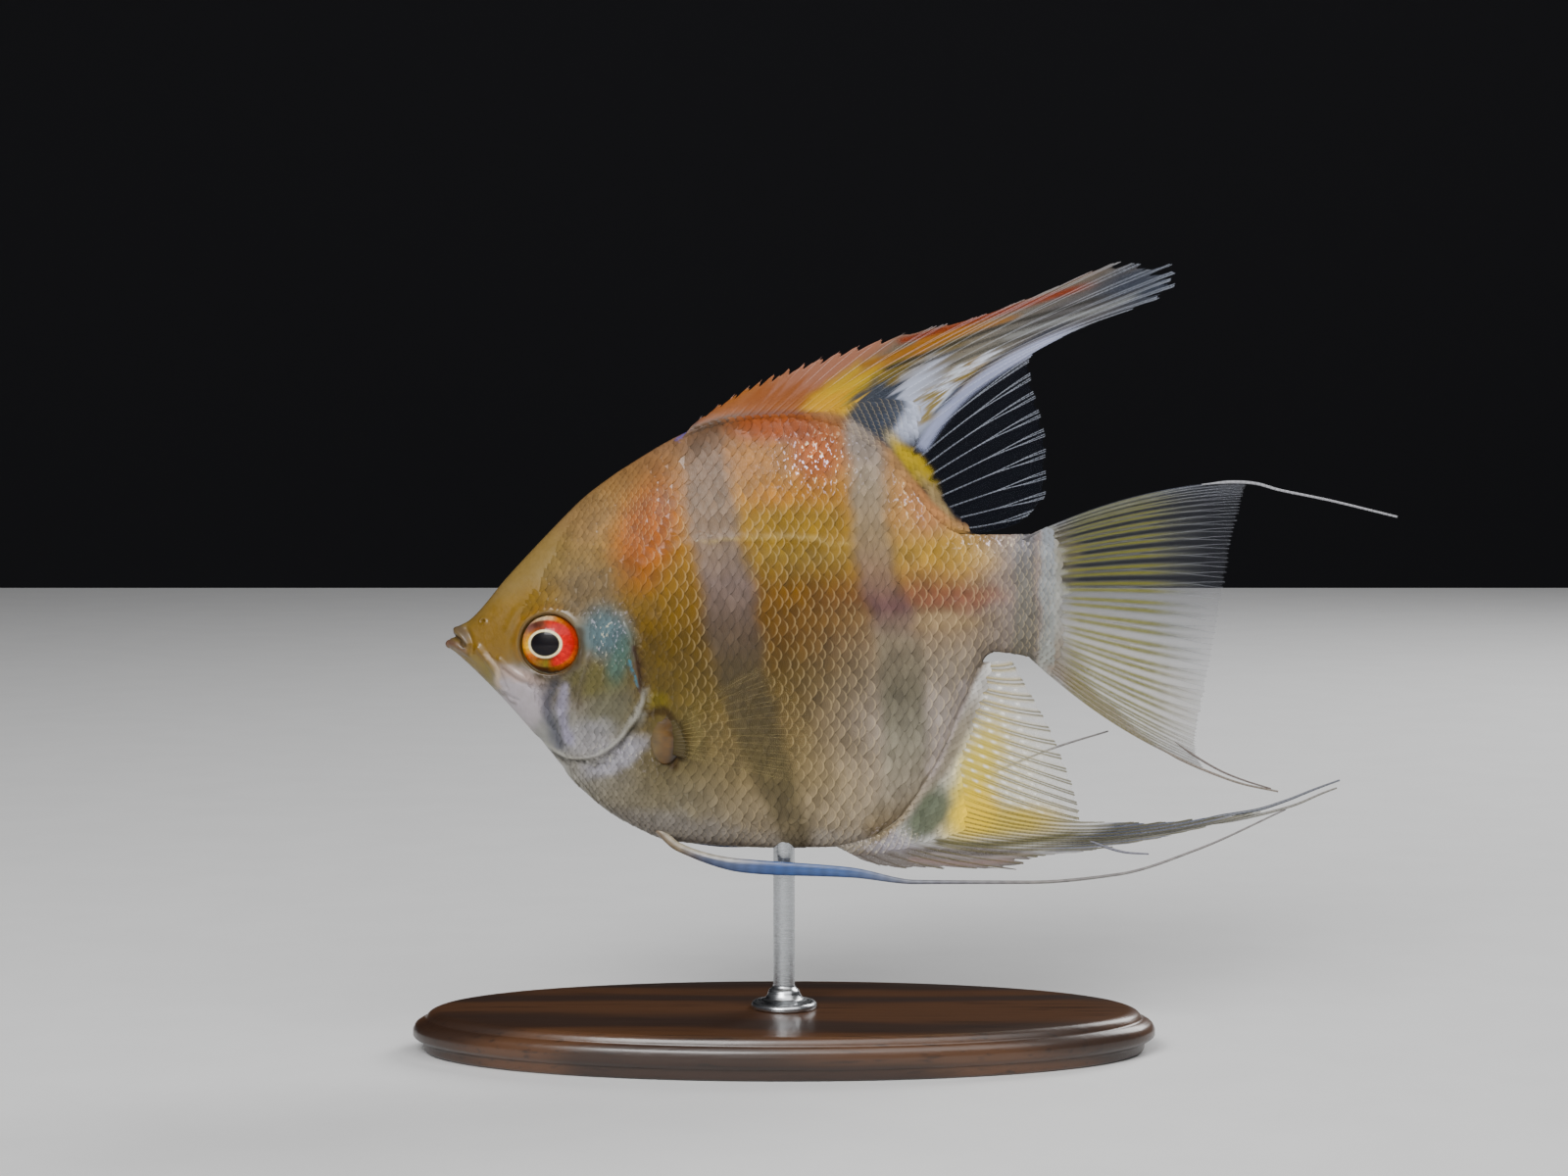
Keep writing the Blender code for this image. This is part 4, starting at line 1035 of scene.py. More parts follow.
analFin = {
    "slot": "clear_fins",
    "rays": [
        (0.0, (7.1, -36.0), (9.3, -37.0), (11.6, -38.6)),
        (0.08, (9.3, -36.0), (12.9, -38.0), (17.7, -39.5)),
        (0.24, (13.4, -35.0), (19.8, -37.9), (32.7, -39.5)),
        (0.32, (15.0, -34.1), (22.5, -37.3), (39.5, -37.6)),
        (0.38, (16.2, -33.0), (30.0, -38.5), (54.5, -34.6)),
        (0.44, (17.3, -31.8), (38.0, -39.4), (67.0, -31.2)),
        (0.50, (18.4, -30.0), (36.0, -37.9), (60.0, -31.9)),
        (0.56, (19.5, -28.1), (33.0, -35.6), (50.5, -32.7)),
        (0.62, (20.6, -26.2), (30.6, -31.4), (41.4, -32.7)),
        (0.70, (21.8, -23.2), (31.3, -27.3), (41.0, -30.3)),
        (0.86, (24.4, -16.9), (31.1, -19.8), (37.5, -20.7)),
        (1.0, (27.2, -10.4), (29.7, -10.6), (31.6, -9.8)),
    ],
    "count": [(0, 0), (0.3, 6), (0.5, 14), (1, 32)],
    "foot": 2.4,
    "spines": 6,
    "radius": (0.19, 0.075),
    "tipCut": [(0, 0.8), (0.3, 0.8), (0.36, 0.3), (0.56, 0.3), (0.66, 0.15), (1, 0.15)],
    "flow": (-22, 0.9),
    "wave": 0.6,
    "rows": 56,
    "clarity": [(0, 0.7), (0.3, 0.55), (0.4, 0.6), (0.56, 0.5), (0.64, 0.2), (1, 0.1)],
    "webTone": (206, 204, 200),
    "rayTone": (88, 82, 44),
    "rayClarity": 0.8,
    "gain": 0.9,
    "spread": (0.12, 0.035, 0.04),
    "rayHide": 0.1,
    "fray": [(0, 0), (0.12, 0.12), (0.3, 0.12), (0.4, 0.04), (0.56, 0.04), (0.64, 0.01), (1, 0.01)],
    "dots": ((255, 255, 250), 0.8, 2.3, 0.9),  # colour, clarity, spacing, strength
    "streaks": ((186, 164, 44), 0.85, [(24, 0.6), (30, 0.6), (36, 0.2), (40, 0)], 0.56),
    "marks": {
        "streamer": (52.0, -33.2, 15.0, 1.9, 13, 0.4, (84, 88, 104), 0.95, 0.78),
        "streamerDark": (45.0, -34.6, 8.0, 0.8, 16, 0.6, (58, 62, 78), 0.7, 0.85),
        "cream": (30.0, -26.0, 6.0, 7.0, 20, 0.7, (236, 230, 202), 0.7, 0.34),
        "yellow": (26.6, -26.6, 2.9, 8.4, -20, 0.6, (224, 204, 112), 0.9, 0.75),
        "yellowLow": (30.4, -32.6, 8.0, 2.3, 2, 0.6, (214, 188, 74), 0.9, 0.8),
        "yellowDeep": (26.6, -31.0, 3.0, 3.4, -10, 0.6, (240, 206, 70), 0.85, 0.95),
        "sheathRear": (22.6, -23.4, 10.0, 1.5, 62, 0.5, (120, 110, 94), 0.85, 0.95),
        "sheath": (20.2, -31.6, 4.6, 2.5, 52, 0.45, (88, 94, 78), 0.95, 0.98),
        "front": (22.0, -38.2, 17.0, 2.2, -1, 0.25, (99, 91, 86), 0.95, 0.8),
        "silver": (13.6, -35.4, 4.4, 1.5, -8, 0.4, (156, 152, 158), 0.9, 0.9),
    },
    "lines": {
        "olive": ([(20.5, -35.3), (25.5, -35.9), (31, -35.8), (37, -35.0), (43, -34.0)], 0.45, 0.35,
                  (70, 66, 40), 0.9, 0.9),
        "frontDark": ([(19, -36.6), (26, -37.2), (33, -36.8), (40, -35.6)], 0.35, 0.3, (84, 78, 74), 0.7,
                      0.85),
        "frontMauve": ([(17, -38.0), (25, -38.6), (33, -38.0)], 0.35, 0.35, (138, 116, 110), 0.7, 0.8),
        "frontPale": ([(20, -37.2), (28, -37.8), (35, -37.2)], 0.2, 0.2, (156, 146, 142), 0.6, 0.8),
    },
}

caudalFin = {
    "slot": "clear_fins",
    "rays": [
        (0.0, (33.8, 7.2), (47.7, 14.3), (64.3, 15.0)),
        (0.08, (34.3, 6.6), (47.7, 12.3), (63.7, 12.9)),
        (0.25, (35.2, 4.1), (49.1, 7.1), (62.3, 7.1)),
        (0.50, (35.7, -1.0), (49.1, -1.3), (60.7, -2.3)),
        (0.75, (35.7, -6.3), (47.7, -11.6), (58.7, -13.6)),
        (0.92, (34.9, -9.0), (45.0, -17.0), (57.5, -22.5)),
        (1.0, (34.1, -9.6), (44.3, -19.8), (58.9, -25.6)),
    ],
    "count": [(0, 0), (0.1, 3), (0.86, 15), (1, 20)],
    "foot": 2.4,
    "spines": 0,
    "radius": (0.16, 0.06),
    "tipCut": [(0, 0.25), (1, 0.25)],
    "flow": (0, 1.2),
    "wave": 0.9,
    "rows": 56,
    "clarity": [(0, 0.14), (0.15, 0.06), (0.5, 0.06), (0.85, 0.08), (1, 0.3)],
    "webTone": (112, 114, 122),
    "rayTone": (170, 172, 178),
    "rayClarity": 0.16,
    # colour, clarity, strength along x, and the share across the fin where they start
    "streaks": ((106, 104, 12), 0.85, [(38.5, 0.2), (41, 0.9), (50, 0.95), (55, 0.35), (59, 0)], -1),
    "rayHide": 0.6,
    "gain": 0.75,
    "spread": (0.26, 0.13, 0.42),
    "fray": [(0, 0.01), (1, 0.01)],
    "marks": {
        "lowerPale": (48.0, -13.0, 14.0, 6.0, -40, 0.6, (186, 178, 164), 0.8, 0.2),
        "root": (36.4, -1.0, 2.4, 12.0, 0, 0.3, (170, 170, 164), 0.9, 0.97),
        "rootYellow": (39.4, 5.0, 1.5, 4.6, 5, 0.6, (150, 136, 96), 0.4, 0.6),
        "rootBrown": (39.0, -9.6, 4.6, 1.8, -48, 0.6, (120, 108, 92), 0.6, 0.7),
        "lowerEdge": (46.0, -18.4, 15.0, 1.3, -42, 0.5, (126, 108, 92), 0.8, 0.7),
        "topEdge": (50.0, 13.2, 14.0, 1.2, 18, 0.6, (112, 116, 132), 0.8, 0.4),
    },
    "lines": {},
}

fins = {"dorsal_fin": dorsalFin, "anal_fin": analFin, "caudal_fin": caudalFin}
rootInset = 1.6  # how deep the rays' roots lie in the body
pointsPerRay = 44
secondFork = 0.72  # the share of its length where a ray forks again


class Fan:
    # a fin as a family of curved rays: any point by its share across the fin and along the ray
    def __init__(self, design):
        shares = [row[0] for row in design["rays"]]
        self.curves = [[through([(s, row[k][axis]) for s, row in zip(shares, design["rays"])])
                        for axis in (0, 1)] for k in (1, 2, 3)]
        self.count = through(design["count"])
        self.total = design["count"][-1][1]
        self.design = design

    def shareAt(self, number):
        shares = np.linspace(0, 1, 2001)
        return np.interp(number, self.count(shares), shares)

    def at(self, share, t):
        root, bend, tip = (np.stack([curve(share) for curve in pair], -1) for pair in self.curves)
        back = bend - root
        root = root - back * (rootInset / np.linalg.norm(back, axis=-1, keepdims=True))
        t = np.asarray(t)[..., None]
        return root * (1 - t) ** 2 + bend * 2 * t * (1 - t) + tip * t * t

    def branchShift(self, t):
        # how far, in ray intervals, each of the two forks has parted
        first, second, fork = self.design["spread"]
        return first * smoothStep(fork, fork + 0.4, t), second * smoothStep(secondFork, 1.0, t)

    def fray(self, number):
        # the share of its length that each branch falls short
        number = np.asarray(number)
        uneven = noiseTable[(number * 4).astype(int) % 64, 9]
        return through(self.design["fray"])(self.shareAt(number)) * uneven

    def middleY(self, share, t):
        wave = self.design["wave"]
        soft = smoothStep(0.3, 0.5, share) if self.design["spines"] else 1.0
        bend = np.sin(5.1 * share + 2.2 * t) + 0.55 * np.sin(9.3 * share - 3.4 * t + 1.0)
        return wave * soft * bend * t**1.6

    def spineShare(self, share):
        return smoothStep(self.design["spines"] + 0.5, self.design["spines"] - 0.5, self.count(share))


def finPaint(design, x, height, share):
    # the colour and clarity of the web at any place
    paint = np.tile((*linear(*design["webTone"]), 0.0), (len(x), 1))
    paint[:, 3] = through(design["clarity"])(share)
    # every ray carries the marks a little further out or in
    turn, reach = design["flow"]
    rays = through(design["count"])(share) * 2
    shift = reach * (cloud(rays, np.zeros_like(rays), 1.0) - 0.5) * (2 - 1.7 * smoothStep(0.62, 0.7, share))
    px = x + shift * math.cos(math.radians(turn)) + 0.6 * (cloud(x, height, 1.5) - 0.5)
    ph = height + shift * math.sin(math.radians(turn)) + 0.6 * (cloud(x, height, 1.3, 5) - 0.5)
    for *oval, soft, tone, strength, solid in design["marks"].values():
        paint = lay(paint, (*linear(*tone), solid), strength * inOval(px, ph, oval, soft))
    for line, reach, soft, tone, strength, solid in design["lines"].values():
        far, passed = lineDistance(x, height, line)
        ends = smoothStep(0, 0.06, passed) * smoothStep(1, 0.85, passed)
        paint = lay(paint, (*linear(*tone), solid), strength * nearLine(far, reach, soft) * ends)
    paint[:, :3] *= design["gain"]
    return paint


webSizes = {
    "perRay": 12,  # columns of points from one ray to the next
    "half": 0.055,  # half the web's thickness
    "foot": (0.6, 2.4),  # what the foot adds to that, and how far up it fades
    "ridge": (0.025, 0.12),  # height and width of the ridge under every ray
    "streak": (0.2, 0.13),  # place beside the ray, and width, both in gaps between rays
    "bead": (0.5, 0.13),
    # painted shade at the fins' foot
    "bodyShade": 0.6,  # the body's colour at the foot is darkened by this
}


def webSheet(design, fan, numbers, steps):
    # shares, steps along the rays and places of the web's points
    shares = fan.shareAt(numbers)
    # between the rays' tips the web falls short, and more so between spines
    frac = numbers % 1 - 0.5
    a, b = fan.branchShift(1.0)
    forked = 6 * abs(abs(abs(frac) - a) - b)
    offRay = np.where(np.asarray(fan.spineShare(shares)) > 0.5, 2 * abs(frac), forked)
    ends = fan.at(shares, np.ones_like(shares))
    length = np.linalg.norm(ends - fan.at(shares, np.zeros_like(shares)), axis=-1)
    ragged = noiseTable[np.floor(numbers * 4).astype(int) % 64, 3]
    short = through(design["tipCut"])(shares) * (np.clip(offRay, 0, 1) ** 1.5 + 0.6 * ragged)
    share, t = np.meshgrid(shares, steps, indexing="ij")
    t = t * (1 - short / length - fan.fray(numbers))[:, None]
    return share, t, fan.at(share, t)


def paintWeb(design, numbers, share, t, flat, depth):
    x, height = flat[..., 0], flat[..., 1]
    gap = abs(numbers % 1 - 0.5)[:, None]  # 0 on a ray and 0.5 midway between two
    beside = lambda at, wide: np.exp(-(((gap - at) / wide) ** 2))
    paint = finPaint(design, x.ravel(), height.ravel(), share.ravel())
    if "streaks" in design:
        # pigment lies along the rays' flanks
        tone, clarity, reach, start = design["streaks"]
        weight = through(reach)(x) * beside(*webSizes["streak"]) * smoothStep(start, start + 0.06, share)
        paint = lay(paint, (*linear(*tone), clarity), weight.ravel())
    if "dots" in design:
        # pale beads stand in rows between the rays
        tone, clarity, spacing, strength = design["dots"]
        ray = np.floor(numbers + 0.5)[:, None]
        beads = smoothStep(0.3, 0.9, np.sin(2 * math.pi * depth / spacing + 2.4 * ray))
        weight = (strength * beads * beside(*webSizes["bead"]) * smoothStep(1.5, 3.0, depth)
                  * smoothStep(0.9, 0.7, t) * smoothStep(0.6, 0.66, share))
        paint = lay(paint, (*linear(*tone), clarity), weight.ravel())
    # the foot is solid, and takes the body's colour beside it, darkened as painted shade
    paint[:, 3] += (1 - paint[:, 3]) * smoothStep(design["foot"], 0.4, depth.ravel())
    beneath = webSizes["bodyShade"] * bodyColours(x[:, 0], height[:, 0]).repeat(x.shape[1], 0)
    paint[:, :3] = lay(paint[:, :3], beneath, smoothStep(1.9, 0.3, depth.ravel()))
    return paint


def webMesh(name, design, material):
    fan = Fan(design)
    numbers = np.linspace(0, fan.total, fan.total * webSizes["perRay"] + 1)
    steps = np.linspace(0, 1, design["rows"] + 1) ** 1.1
    share, t, flat = webSheet(design, fan, numbers, steps)
    x, height = flat[..., 0], flat[..., 1]
    y = fan.middleY(share, t)
    depth = np.hypot(x - x[:, :1], height - height[:, :1]) - rootInset
    # thick at the foot, thin at the edges, with a low ridge under every ray
    added, fade = webSizes["foot"]
    half = webSizes["half"] + added * np.exp(-np.maximum(depth, 0) / fade) + 0.03 * (1 - t)
    edge = np.minimum(t / 0.02, (1 - steps)[None, :] / 0.03)
    high, wide = webSizes["ridge"]
    ridge = np.exp(-(((numbers % 1 - 0.5) / wide) ** 2))[:, None] * smoothStep(0.6, 0.1, t)
    half = half * np.clip(edge, 0.2, 1) + high * ridge
    columns, rows = x.shape
    front, rear = (np.stack([x, y + side * half, height], -1).reshape(-1, 3) for side in (-1, 1))
    size = columns * rows
    faces = gridFaces(columns, rows) + gridFaces(columns, rows, start=size)
    rim = ([c * rows for c in range(columns)] + [(columns - 1) * rows + r for r in range(1, rows)]
           + [c * rows + rows - 1 for c in range(columns - 2, -1, -1)] + list(range(rows - 2, 0, -1)))
    faces += [[a, a + size, b + size, b] for a, b in zip(rim, rim[1:] + rim[:1])]
    mesh = meshOf(name, place(np.vstack([front, rear])), faces, material)
    paint = paintWeb(design, numbers, share, t, flat, depth)
    setColours(mesh, "marks", np.vstack([paint, paint]))
    return mesh, fan


def rayMesh(name, design, fan, material):
    # a spine is one tube; a soft ray forks twice, so it is four tubes that part on the way
    paths = []
    wide, narrow = design["radius"]
    lastFirst, lastSecond = fan.branchShift(1.0)
    for number in range(fan.total):
        middle = number + 0.5
        spine = float(fan.spineShare(fan.shareAt(middle))) > 0.5
        for first, second in [(0, 0)] if spine else [(1, 1), (1, -1), (-1, 1), (-1, -1)]:
            start = secondFork if second < 0 else design["spread"][2] if first < 0 else 0.04
            end = 1.003 - float(fan.fray(middle + first * lastFirst + second * lastSecond))
            t = np.linspace(start, end, pointsPerRay)
            a, b = fan.branchShift(t)
            at = fan.shareAt(middle + first * a + second * b)
            flat = fan.at(at, t)
            thick = wide + (narrow - wide) * t**0.7
            if spine:
                thick = thick * 1.15 * np.clip((1.02 - t) / 0.12, 0.25, 1)
            paths.append(np.column_stack([flat[:, 0], fan.middleY(at, t), flat[:, 1], thick]))
    mesh = tubeMesh(name, paths, material)
    x, _, height = placesOf(mesh)
    paint = finPaint(design, x, height, np.full_like(x, 0.9))
    hidden = design["rayHide"] * np.clip((paint[:, 3] - 0.2) / 0.7, 0, 1)
    tone = linear(*design["rayTone"]) * design["gain"]
    paint[:, :3] = lay(1.12 * paint[:, :3], tone, 0.75 * (1 - hidden))
    paint[:, 3] = np.maximum(paint[:, 3], design["rayClarity"])
    setColours(mesh, "marks", paint)
    return mesh


def webMaterial():
    w = Material("fin_web")
    at = w.objectPlace()
    marks = w.attribute("marks")
    streak = w.noise(w.stretched(at, (1.0, 1.0, 2.5)), 900.0, 3.0)
    tone = w.mix(w.remap(streak, 0.3, 0.7), marks["Color"], (0.86, 0.86, 0.86), "MULTIPLY")
    clear = w.math("MULTIPLY", marks["Alpha"], w.remap(streak, 0.25, 0.75, 0.86, 1.0))
    normal = w.bump(w.noise(at, 1700.0, 3.0), 0.12, 0.0001)
    return w.set(Base_Color=tone, Alpha=clear, Roughness=0.4, Normal=normal, Specular_IOR_Level=0.2)


def rayMaterial():
    w = Material("fin_rays")
    marks = w.attribute("marks")
    joints = w.math("SINE", w.math("MULTIPLY", w.attribute("along")["Fac"], 9.0))
    shade = w.mix(w.remap(joints, -0.9, -0.5, 0.35, 0.0), marks["Color"], (0.3, 0.29, 0.27), "MULTIPLY")
    normal = w.bump(w.noise(w.objectPlace(), 2200.0), 0.2, 0.00008)
    return w.set(Base_Color=shade, Alpha=marks["Alpha"], Roughness=0.4, Normal=normal)


webLook, rayLook = webMaterial(), rayMaterial()


def finMeshes(node, design):
    web, fan = webMesh(node + "_web", design, webLook)
    return web, rayMesh(node + "_rays", design, fan, rayLook)


for node, design in fins.items():
    for mesh in finMeshes(node, design):
        addPiece(mesh.name, mesh, design["slot"], node)
print("unpaired fins made")


# long filaments that trail from the fins

filaments = {  # fin, path as (x, height), radius at the path's two ends, colour
    "caudal_top": ("caudal_fin", [(58.0, 14.4), (62.0, 14.75), (65.5, 14.55), (69.0, 13.6), (76.0, 12.15),
                                  (85.2, 9.9)], (0.26, 0.15), (150, 150, 154)),
    "caudal_low": ("caudal_fin", [(52.0, -22.2), (56.0, -24.3), (60.0, -26.0), (64.0, -27.4),
                                  (69.0, -28.5)], (0.24, 0.14), (122, 114, 106)),
    "caudal_low_second": ("caudal_fin", [(54.5, -21.5), (57.5, -23.6), (61.0, -25.6), (64.5, -27.0),
                                         (68.0, -28.1)], (0.2, 0.12), (104, 96, 92)),
    "anal_upper": ("anal_fin", [(56.0, -33.1), (61.0, -32.0), (66.0, -31.1), (70.0, -29.8), (74.0, -28.2),
                                (77.6, -26.9)], (0.34, 0.13), (96, 98, 104)),
    "anal_lower": ("anal_fin", [(58.0, -33.3), (63.0, -32.5), (67.5, -31.5), (71.5, -30.3), (75.0, -28.8),
                                (77.2, -28.0)], (0.28, 0.12), (120, 118, 112)),
    "anal_free": ("anal_fin", [(41.0, -34.6), (44.5, -36.1), (47.5, -37.0), (51.0, -37.3)], (0.3, 0.12),
                  (112, 112, 120)),
}


def filamentPath(line, ends):
    points = smoothLine(line, 60 // (len(line) - 1))
    share = np.linspace(0, 1, len(points))
    radius = (ends[0] + (ends[1] - ends[0]) * share**0.8) * (0.35 + 0.65 * smoothStep(0, 0.2, share))
    return np.column_stack([points[:, 0], 0.12 * np.sin(7 * share), points[:, 1], radius])


def makeFilaments(node):
    chosen = {name: entry for name, entry in filaments.items() if entry[0] == node}
    paths = [filamentPath(line, ends) for _, line, ends, _ in chosen.values()]
    mesh = tubeMesh(node + "_filaments", paths, rayLook, around=10)
    x, _, height = placesOf(mesh)
    colours = np.zeros((len(x), 3))
    nearest = np.full(len(x), 1e9)
    for (_, _, _, tone), path in zip(chosen.values(), paths):
        far = np.min(np.hypot(x[:, None] - path[:, 0], height[:, None] - path[:, 2]), 1)
        closer = far < nearest
        nearest = np.where(closer, far, nearest)
        colours[closer] = linear(*tone)
    setColours(mesh, "marks", np.column_stack([colours, np.full(len(x), 0.92)]))
    addPiece(node + "_filaments", mesh, fins[node]["slot"], node)


for node in ("caudal_fin", "anal_fin"):
    makeFilaments(node)


# the pelvic feelers: a flat blade that narrows into a long filament

pelvics = {
    "left": [(-17.5, -33.6, 1.6), (-14.6, -36.0, 2.4), (-5.9, -38.4, 3.5), (9.3, -39.3, 4.0),
             (18.4, -40.6, 4.2), (34.1, -40.6, 4.4), (46.3, -39.5, 4.4), (57.2, -36.1, 4.2),
             (69.5, -30.5, 4.0)],
    "right": [(-17.5, -33.6, 1.6), (-13.6, -35.4, 2.6), (-5.5, -36.0, 4.6), (6.8, -34.1, 6.2),
              (19.1, -30.7, 6.4), (28.6, -26.9, 6.0), (38.4, -22.9, 5.6), (45.7, -20.6, 5.4)],
    "depth": [(0, 1.3), (0.05, 1.25), (0.16, 1.95), (0.3, 1.5), (0.42, 0.6), (0.7, 0.42), (1, 0.24)],
    "thick": [(0, 1.3), (0.08, 0.85), (0.3, 0.55), (0.42, 0.5), (0.7, 0.4), (1, 0.24)],
    "tones": [(0, (120, 106, 90)), (0.04, (128, 116, 98)), (0.09, (80, 86, 104)), (0.2, (62, 82, 124)),
              (0.3, (74, 92, 130)), (0.4, (108, 110, 118)), (0.6, (124, 121, 118)), (1, (108, 104, 102))],
    "upperTone": (168, 160, 142),
    "stations": 260,
    "around": 20,
}


def makePelvic(side, sign, material):
    knots = np.array(pelvics[side])
    steps = lengthAlong(knots)
    shares = np.linspace(0, 1, pelvics["stations"])
    lineX, lineH, lineY = (through(list(zip(steps / steps[-1], knots[:, k])))(shares) for k in range(3))
    centre = np.stack([lineX, sign * lineY, lineH], -1)
    along = np.gradient(centre, axis=0)
    along /= np.linalg.norm(along, axis=1, keepdims=True)
    across = np.cross(along, (0, 0, 1.0))
    across /= np.linalg.norm(across, axis=1, keepdims=True)
    up = np.cross(across, along)
    turns = np.linspace(0, 2 * math.pi, pelvics["around"], endpoint=False)
    depth, thick = through(pelvics["depth"])(shares) / 2, through(pelvics["thick"])(shares) / 2
    # fine ridges run along the blade, as its rays do
    ridges = 1 + 0.1 * np.cos(9 * np.sin(turns) * 2)[None, :] * smoothStep(0.5, 0.3, shares)[:, None]
    ring = (np.cos(turns)[None, :, None] * (thick[:, None] * ridges)[..., None] * across[:, None]
            + np.sin(turns)[None, :, None] * depth[:, None, None] * up[:, None])
    count, around = len(shares), len(turns)
    faces = shellFaces(count, around)
    mesh = meshOf("pelvic_feeler_" + side, place(centre[:, None] + ring), faces, material)
    colours = np.repeat(blend(pelvics["tones"], shares), around, 0)
    upper = smoothStep(0.1, 0.75, np.sin(turns)) * smoothStep(0.2, 0.08, shares)[:, None]
    colours = lay(colours, linear(*pelvics["upperTone"]), 0.75 * upper.ravel())
    bands = np.repeat(0.9 + 0.1 * np.sin(shares * 320), around)
    setColours(mesh, "marks", np.column_stack([colours * bands[:, None], np.ones(len(bands))]))
    addPiece("pelvic_feeler_" + side, mesh, "pelvic_fins", "pelvic_fin_" + side)


def feelerMaterial():
    w = Material("feeler")
    at = w.objectPlace()
    marks = w.attribute("marks")
    fleck = w.noise(w.stretched(at, (0.35, 1.0, 1.0)), 1500.0, 3.0)
    tone = w.mix(w.remap(fleck, 0.3, 0.7), marks["Color"], (0.8, 0.8, 0.82), "MULTIPLY")
    normal = w.bump(fleck, 0.4, 0.0001)
    return w.set(Base_Color=tone, Roughness=0.34, Normal=normal, Coat_Weight=0.3, Coat_Roughness=0.15)


feelerLook = feelerMaterial()
for side, sign in sides.items():
    makePelvic(side, sign, feelerLook)
print("filaments and feelers made")


# the pectoral fins, nearly clear, held out from the side

fins["pectoral_fin"] = {
    "slot": "clear_fins",
    "rays": [
        (0.0, (-15.8, -17.4), (-10.2, -13.6), (-3.0, -9.8)),
        (0.25, (-15.0, -18.7), (-7.5, -15.3), (1.6, -13.6)),
        (0.5, (-14.4, -20.0), (-6.1, -18.8), (4.4, -18.8)),
        (0.75, (-14.0, -21.4), (-6.1, -21.8), (3.3, -22.6)),
        (1.0, (-14.0, -22.9), (-7.5, -24.5), (0.8, -25.9)),
    ],
    "count": [(0, 0), (1, 12)],
    "foot": 0.7,
    "spines": 0,
    "radius": (0.1, 0.04),
    "tipCut": [(0, 0.3), (1, 0.3)],
    "flow": (0, 0.3),
    "wave": 0.35,
    "rows": 40,
    "clarity": [(0, 0.008), (1, 0.008)],
    "webTone": (190, 176, 130),
    "rayTone": (150, 130, 84),
    "rayClarity": 0.06,
    "rayHide": 0.8,
    "gain": 0.9,
    "spread": (0.2, 0.08, 0.42),
    "fray": [(0, 0.02), (1, 0.02)],
    "marks": {
        "root": (-14.6, -20.0, 2.4, 4.6, 0, 0.6, (80, 68, 34), 0.95, 0.25),
        "front": (-9.0, -13.6, 7.5, 0.4, 33, 0.6, (70, 60, 40), 0.7, 0.06),
    },
    "lines": {},
}
pectoral = {
    "hinge": (-15.8, 5.9),  # x, and the distance from the middle
    "swing": 18.0,
    "lobe": (-16.3, 6.1, -20.2),
    "lobeSize": (2.2, 0.75, 3.8),
    "lobeSteps": (32, 48),
    "tones": {"rear": (78, 56, 20), "front": (84, 70, 46), "edge": (34, 23, 10)},
}


def swingOut(mesh, sign):
    # turn a fin made flat on the middle plane to its place on the side
    points = numbersOf(mesh.vertices, "co", 3)
    x = points[:, 0] / mm
    hingeX, hingeY = pectoral["hinge"]
    offset = hingeY + (x - hingeX) * math.tan(math.radians(pectoral["swing"]))
    points[:, 1] += sign * offset * mm
    mesh.vertices.foreach_set("co", points.ravel())
    mesh.update()


def makeLobe(side, sign, material):
    # the fin's fleshy foot: a flattened ball, ridged at its rear
    rows, columns = pectoral["lobeSteps"]
    down = np.linspace(0, math.pi, rows + 1)[1:-1, None]
    around = np.linspace(0, 2 * math.pi, columns, endpoint=False)
    ball = np.stack(np.broadcast_arrays(np.sin(down) * np.cos(around), np.sin(down) * np.sin(around),
                                        np.cos(down)), -1)
    points = np.vstack([ball.reshape(-1, 3), [(0, 0, 1), (0, 0, -1)]])
    points[:, 1] *= 1 + 0.12 * np.cos(15 * points[:, 2]) * np.maximum(points[:, 0], 0)
    points = (pectoral["lobe"] + points * pectoral["lobeSize"]) * (1, sign, 1)
    faces = shellFaces(rows - 1, columns, poles=True)
    mesh = meshOf("pectoral_lobe_" + side, place(points), faces, material)
    x, _, height = pectoral["lobe"]
    px, _, ph = points.T
    rear, front, edge = (linear(*tone) for tone in pectoral["tones"].values())
    dark = smoothStep(0.2, 0.7, (px - x) / 2.3 + 0.35 * abs(ph - height) / 3.9)
    colours = np.tile(rear, (len(px), 1))
    colours = lay(colours, front, smoothStep(-16.4, -18.0, px))
    colours = colours * (0.75 + 0.5 * cloud(px, ph, 0.7))[:, None]
    colours = lay(colours, edge, 0.9 * np.maximum(dark, smoothStep(-18.6, -17.2, ph)))
    setColours(mesh, "marks", colours)
    addPiece("pectoral_lobe_" + side, mesh, "clear_fins", "pectoral_fin_" + side)


for side, sign in sides.items():
    node, design = "pectoral_fin_" + side, fins["pectoral_fin"]
    for mesh in finMeshes(node, design):
        swingOut(mesh, sign)
        addPiece(mesh.name, mesh, design["slot"], node)
    makeLobe(side, sign, feelerLook)
print("pectoral fins made")


# the stand

stand = {
    "length": 104.0,
    "width": 46.0,
    "baseSegments": 220,
    "rodSegments": 64,
    "profile": [(0.0, 0.0), (0.955, 0.0), (0.968, 0.25), (0.972, 0.7), (0.972, 1.5), (0.985, 1.75),
                (1.0, 2.3), (1.0, 3.3), (0.992, 4.1), (0.976, 4.6), (0.966, 4.75), (0.962, 5.1),
                (0.954, 5.55), (0.94, 5.86), (0.925, 6.0), (0.0, 6.0)],
    "rod": [(0.0, 1.8), (1.5, 1.8), (1.5, 5.9), (4.3, 5.95), (4.6, 6.15), (4.6, 6.6), (4.35, 6.95),
            (3.4, 7.15), (2.7, 7.4), (2.35, 7.9), (2.1, 8.6), (1.6, 9.0), (1.5, 9.3), (1.5, 35.6),
            (1.35, 36.1), (0.9, 36.2), (0.0, 36.2)],
}


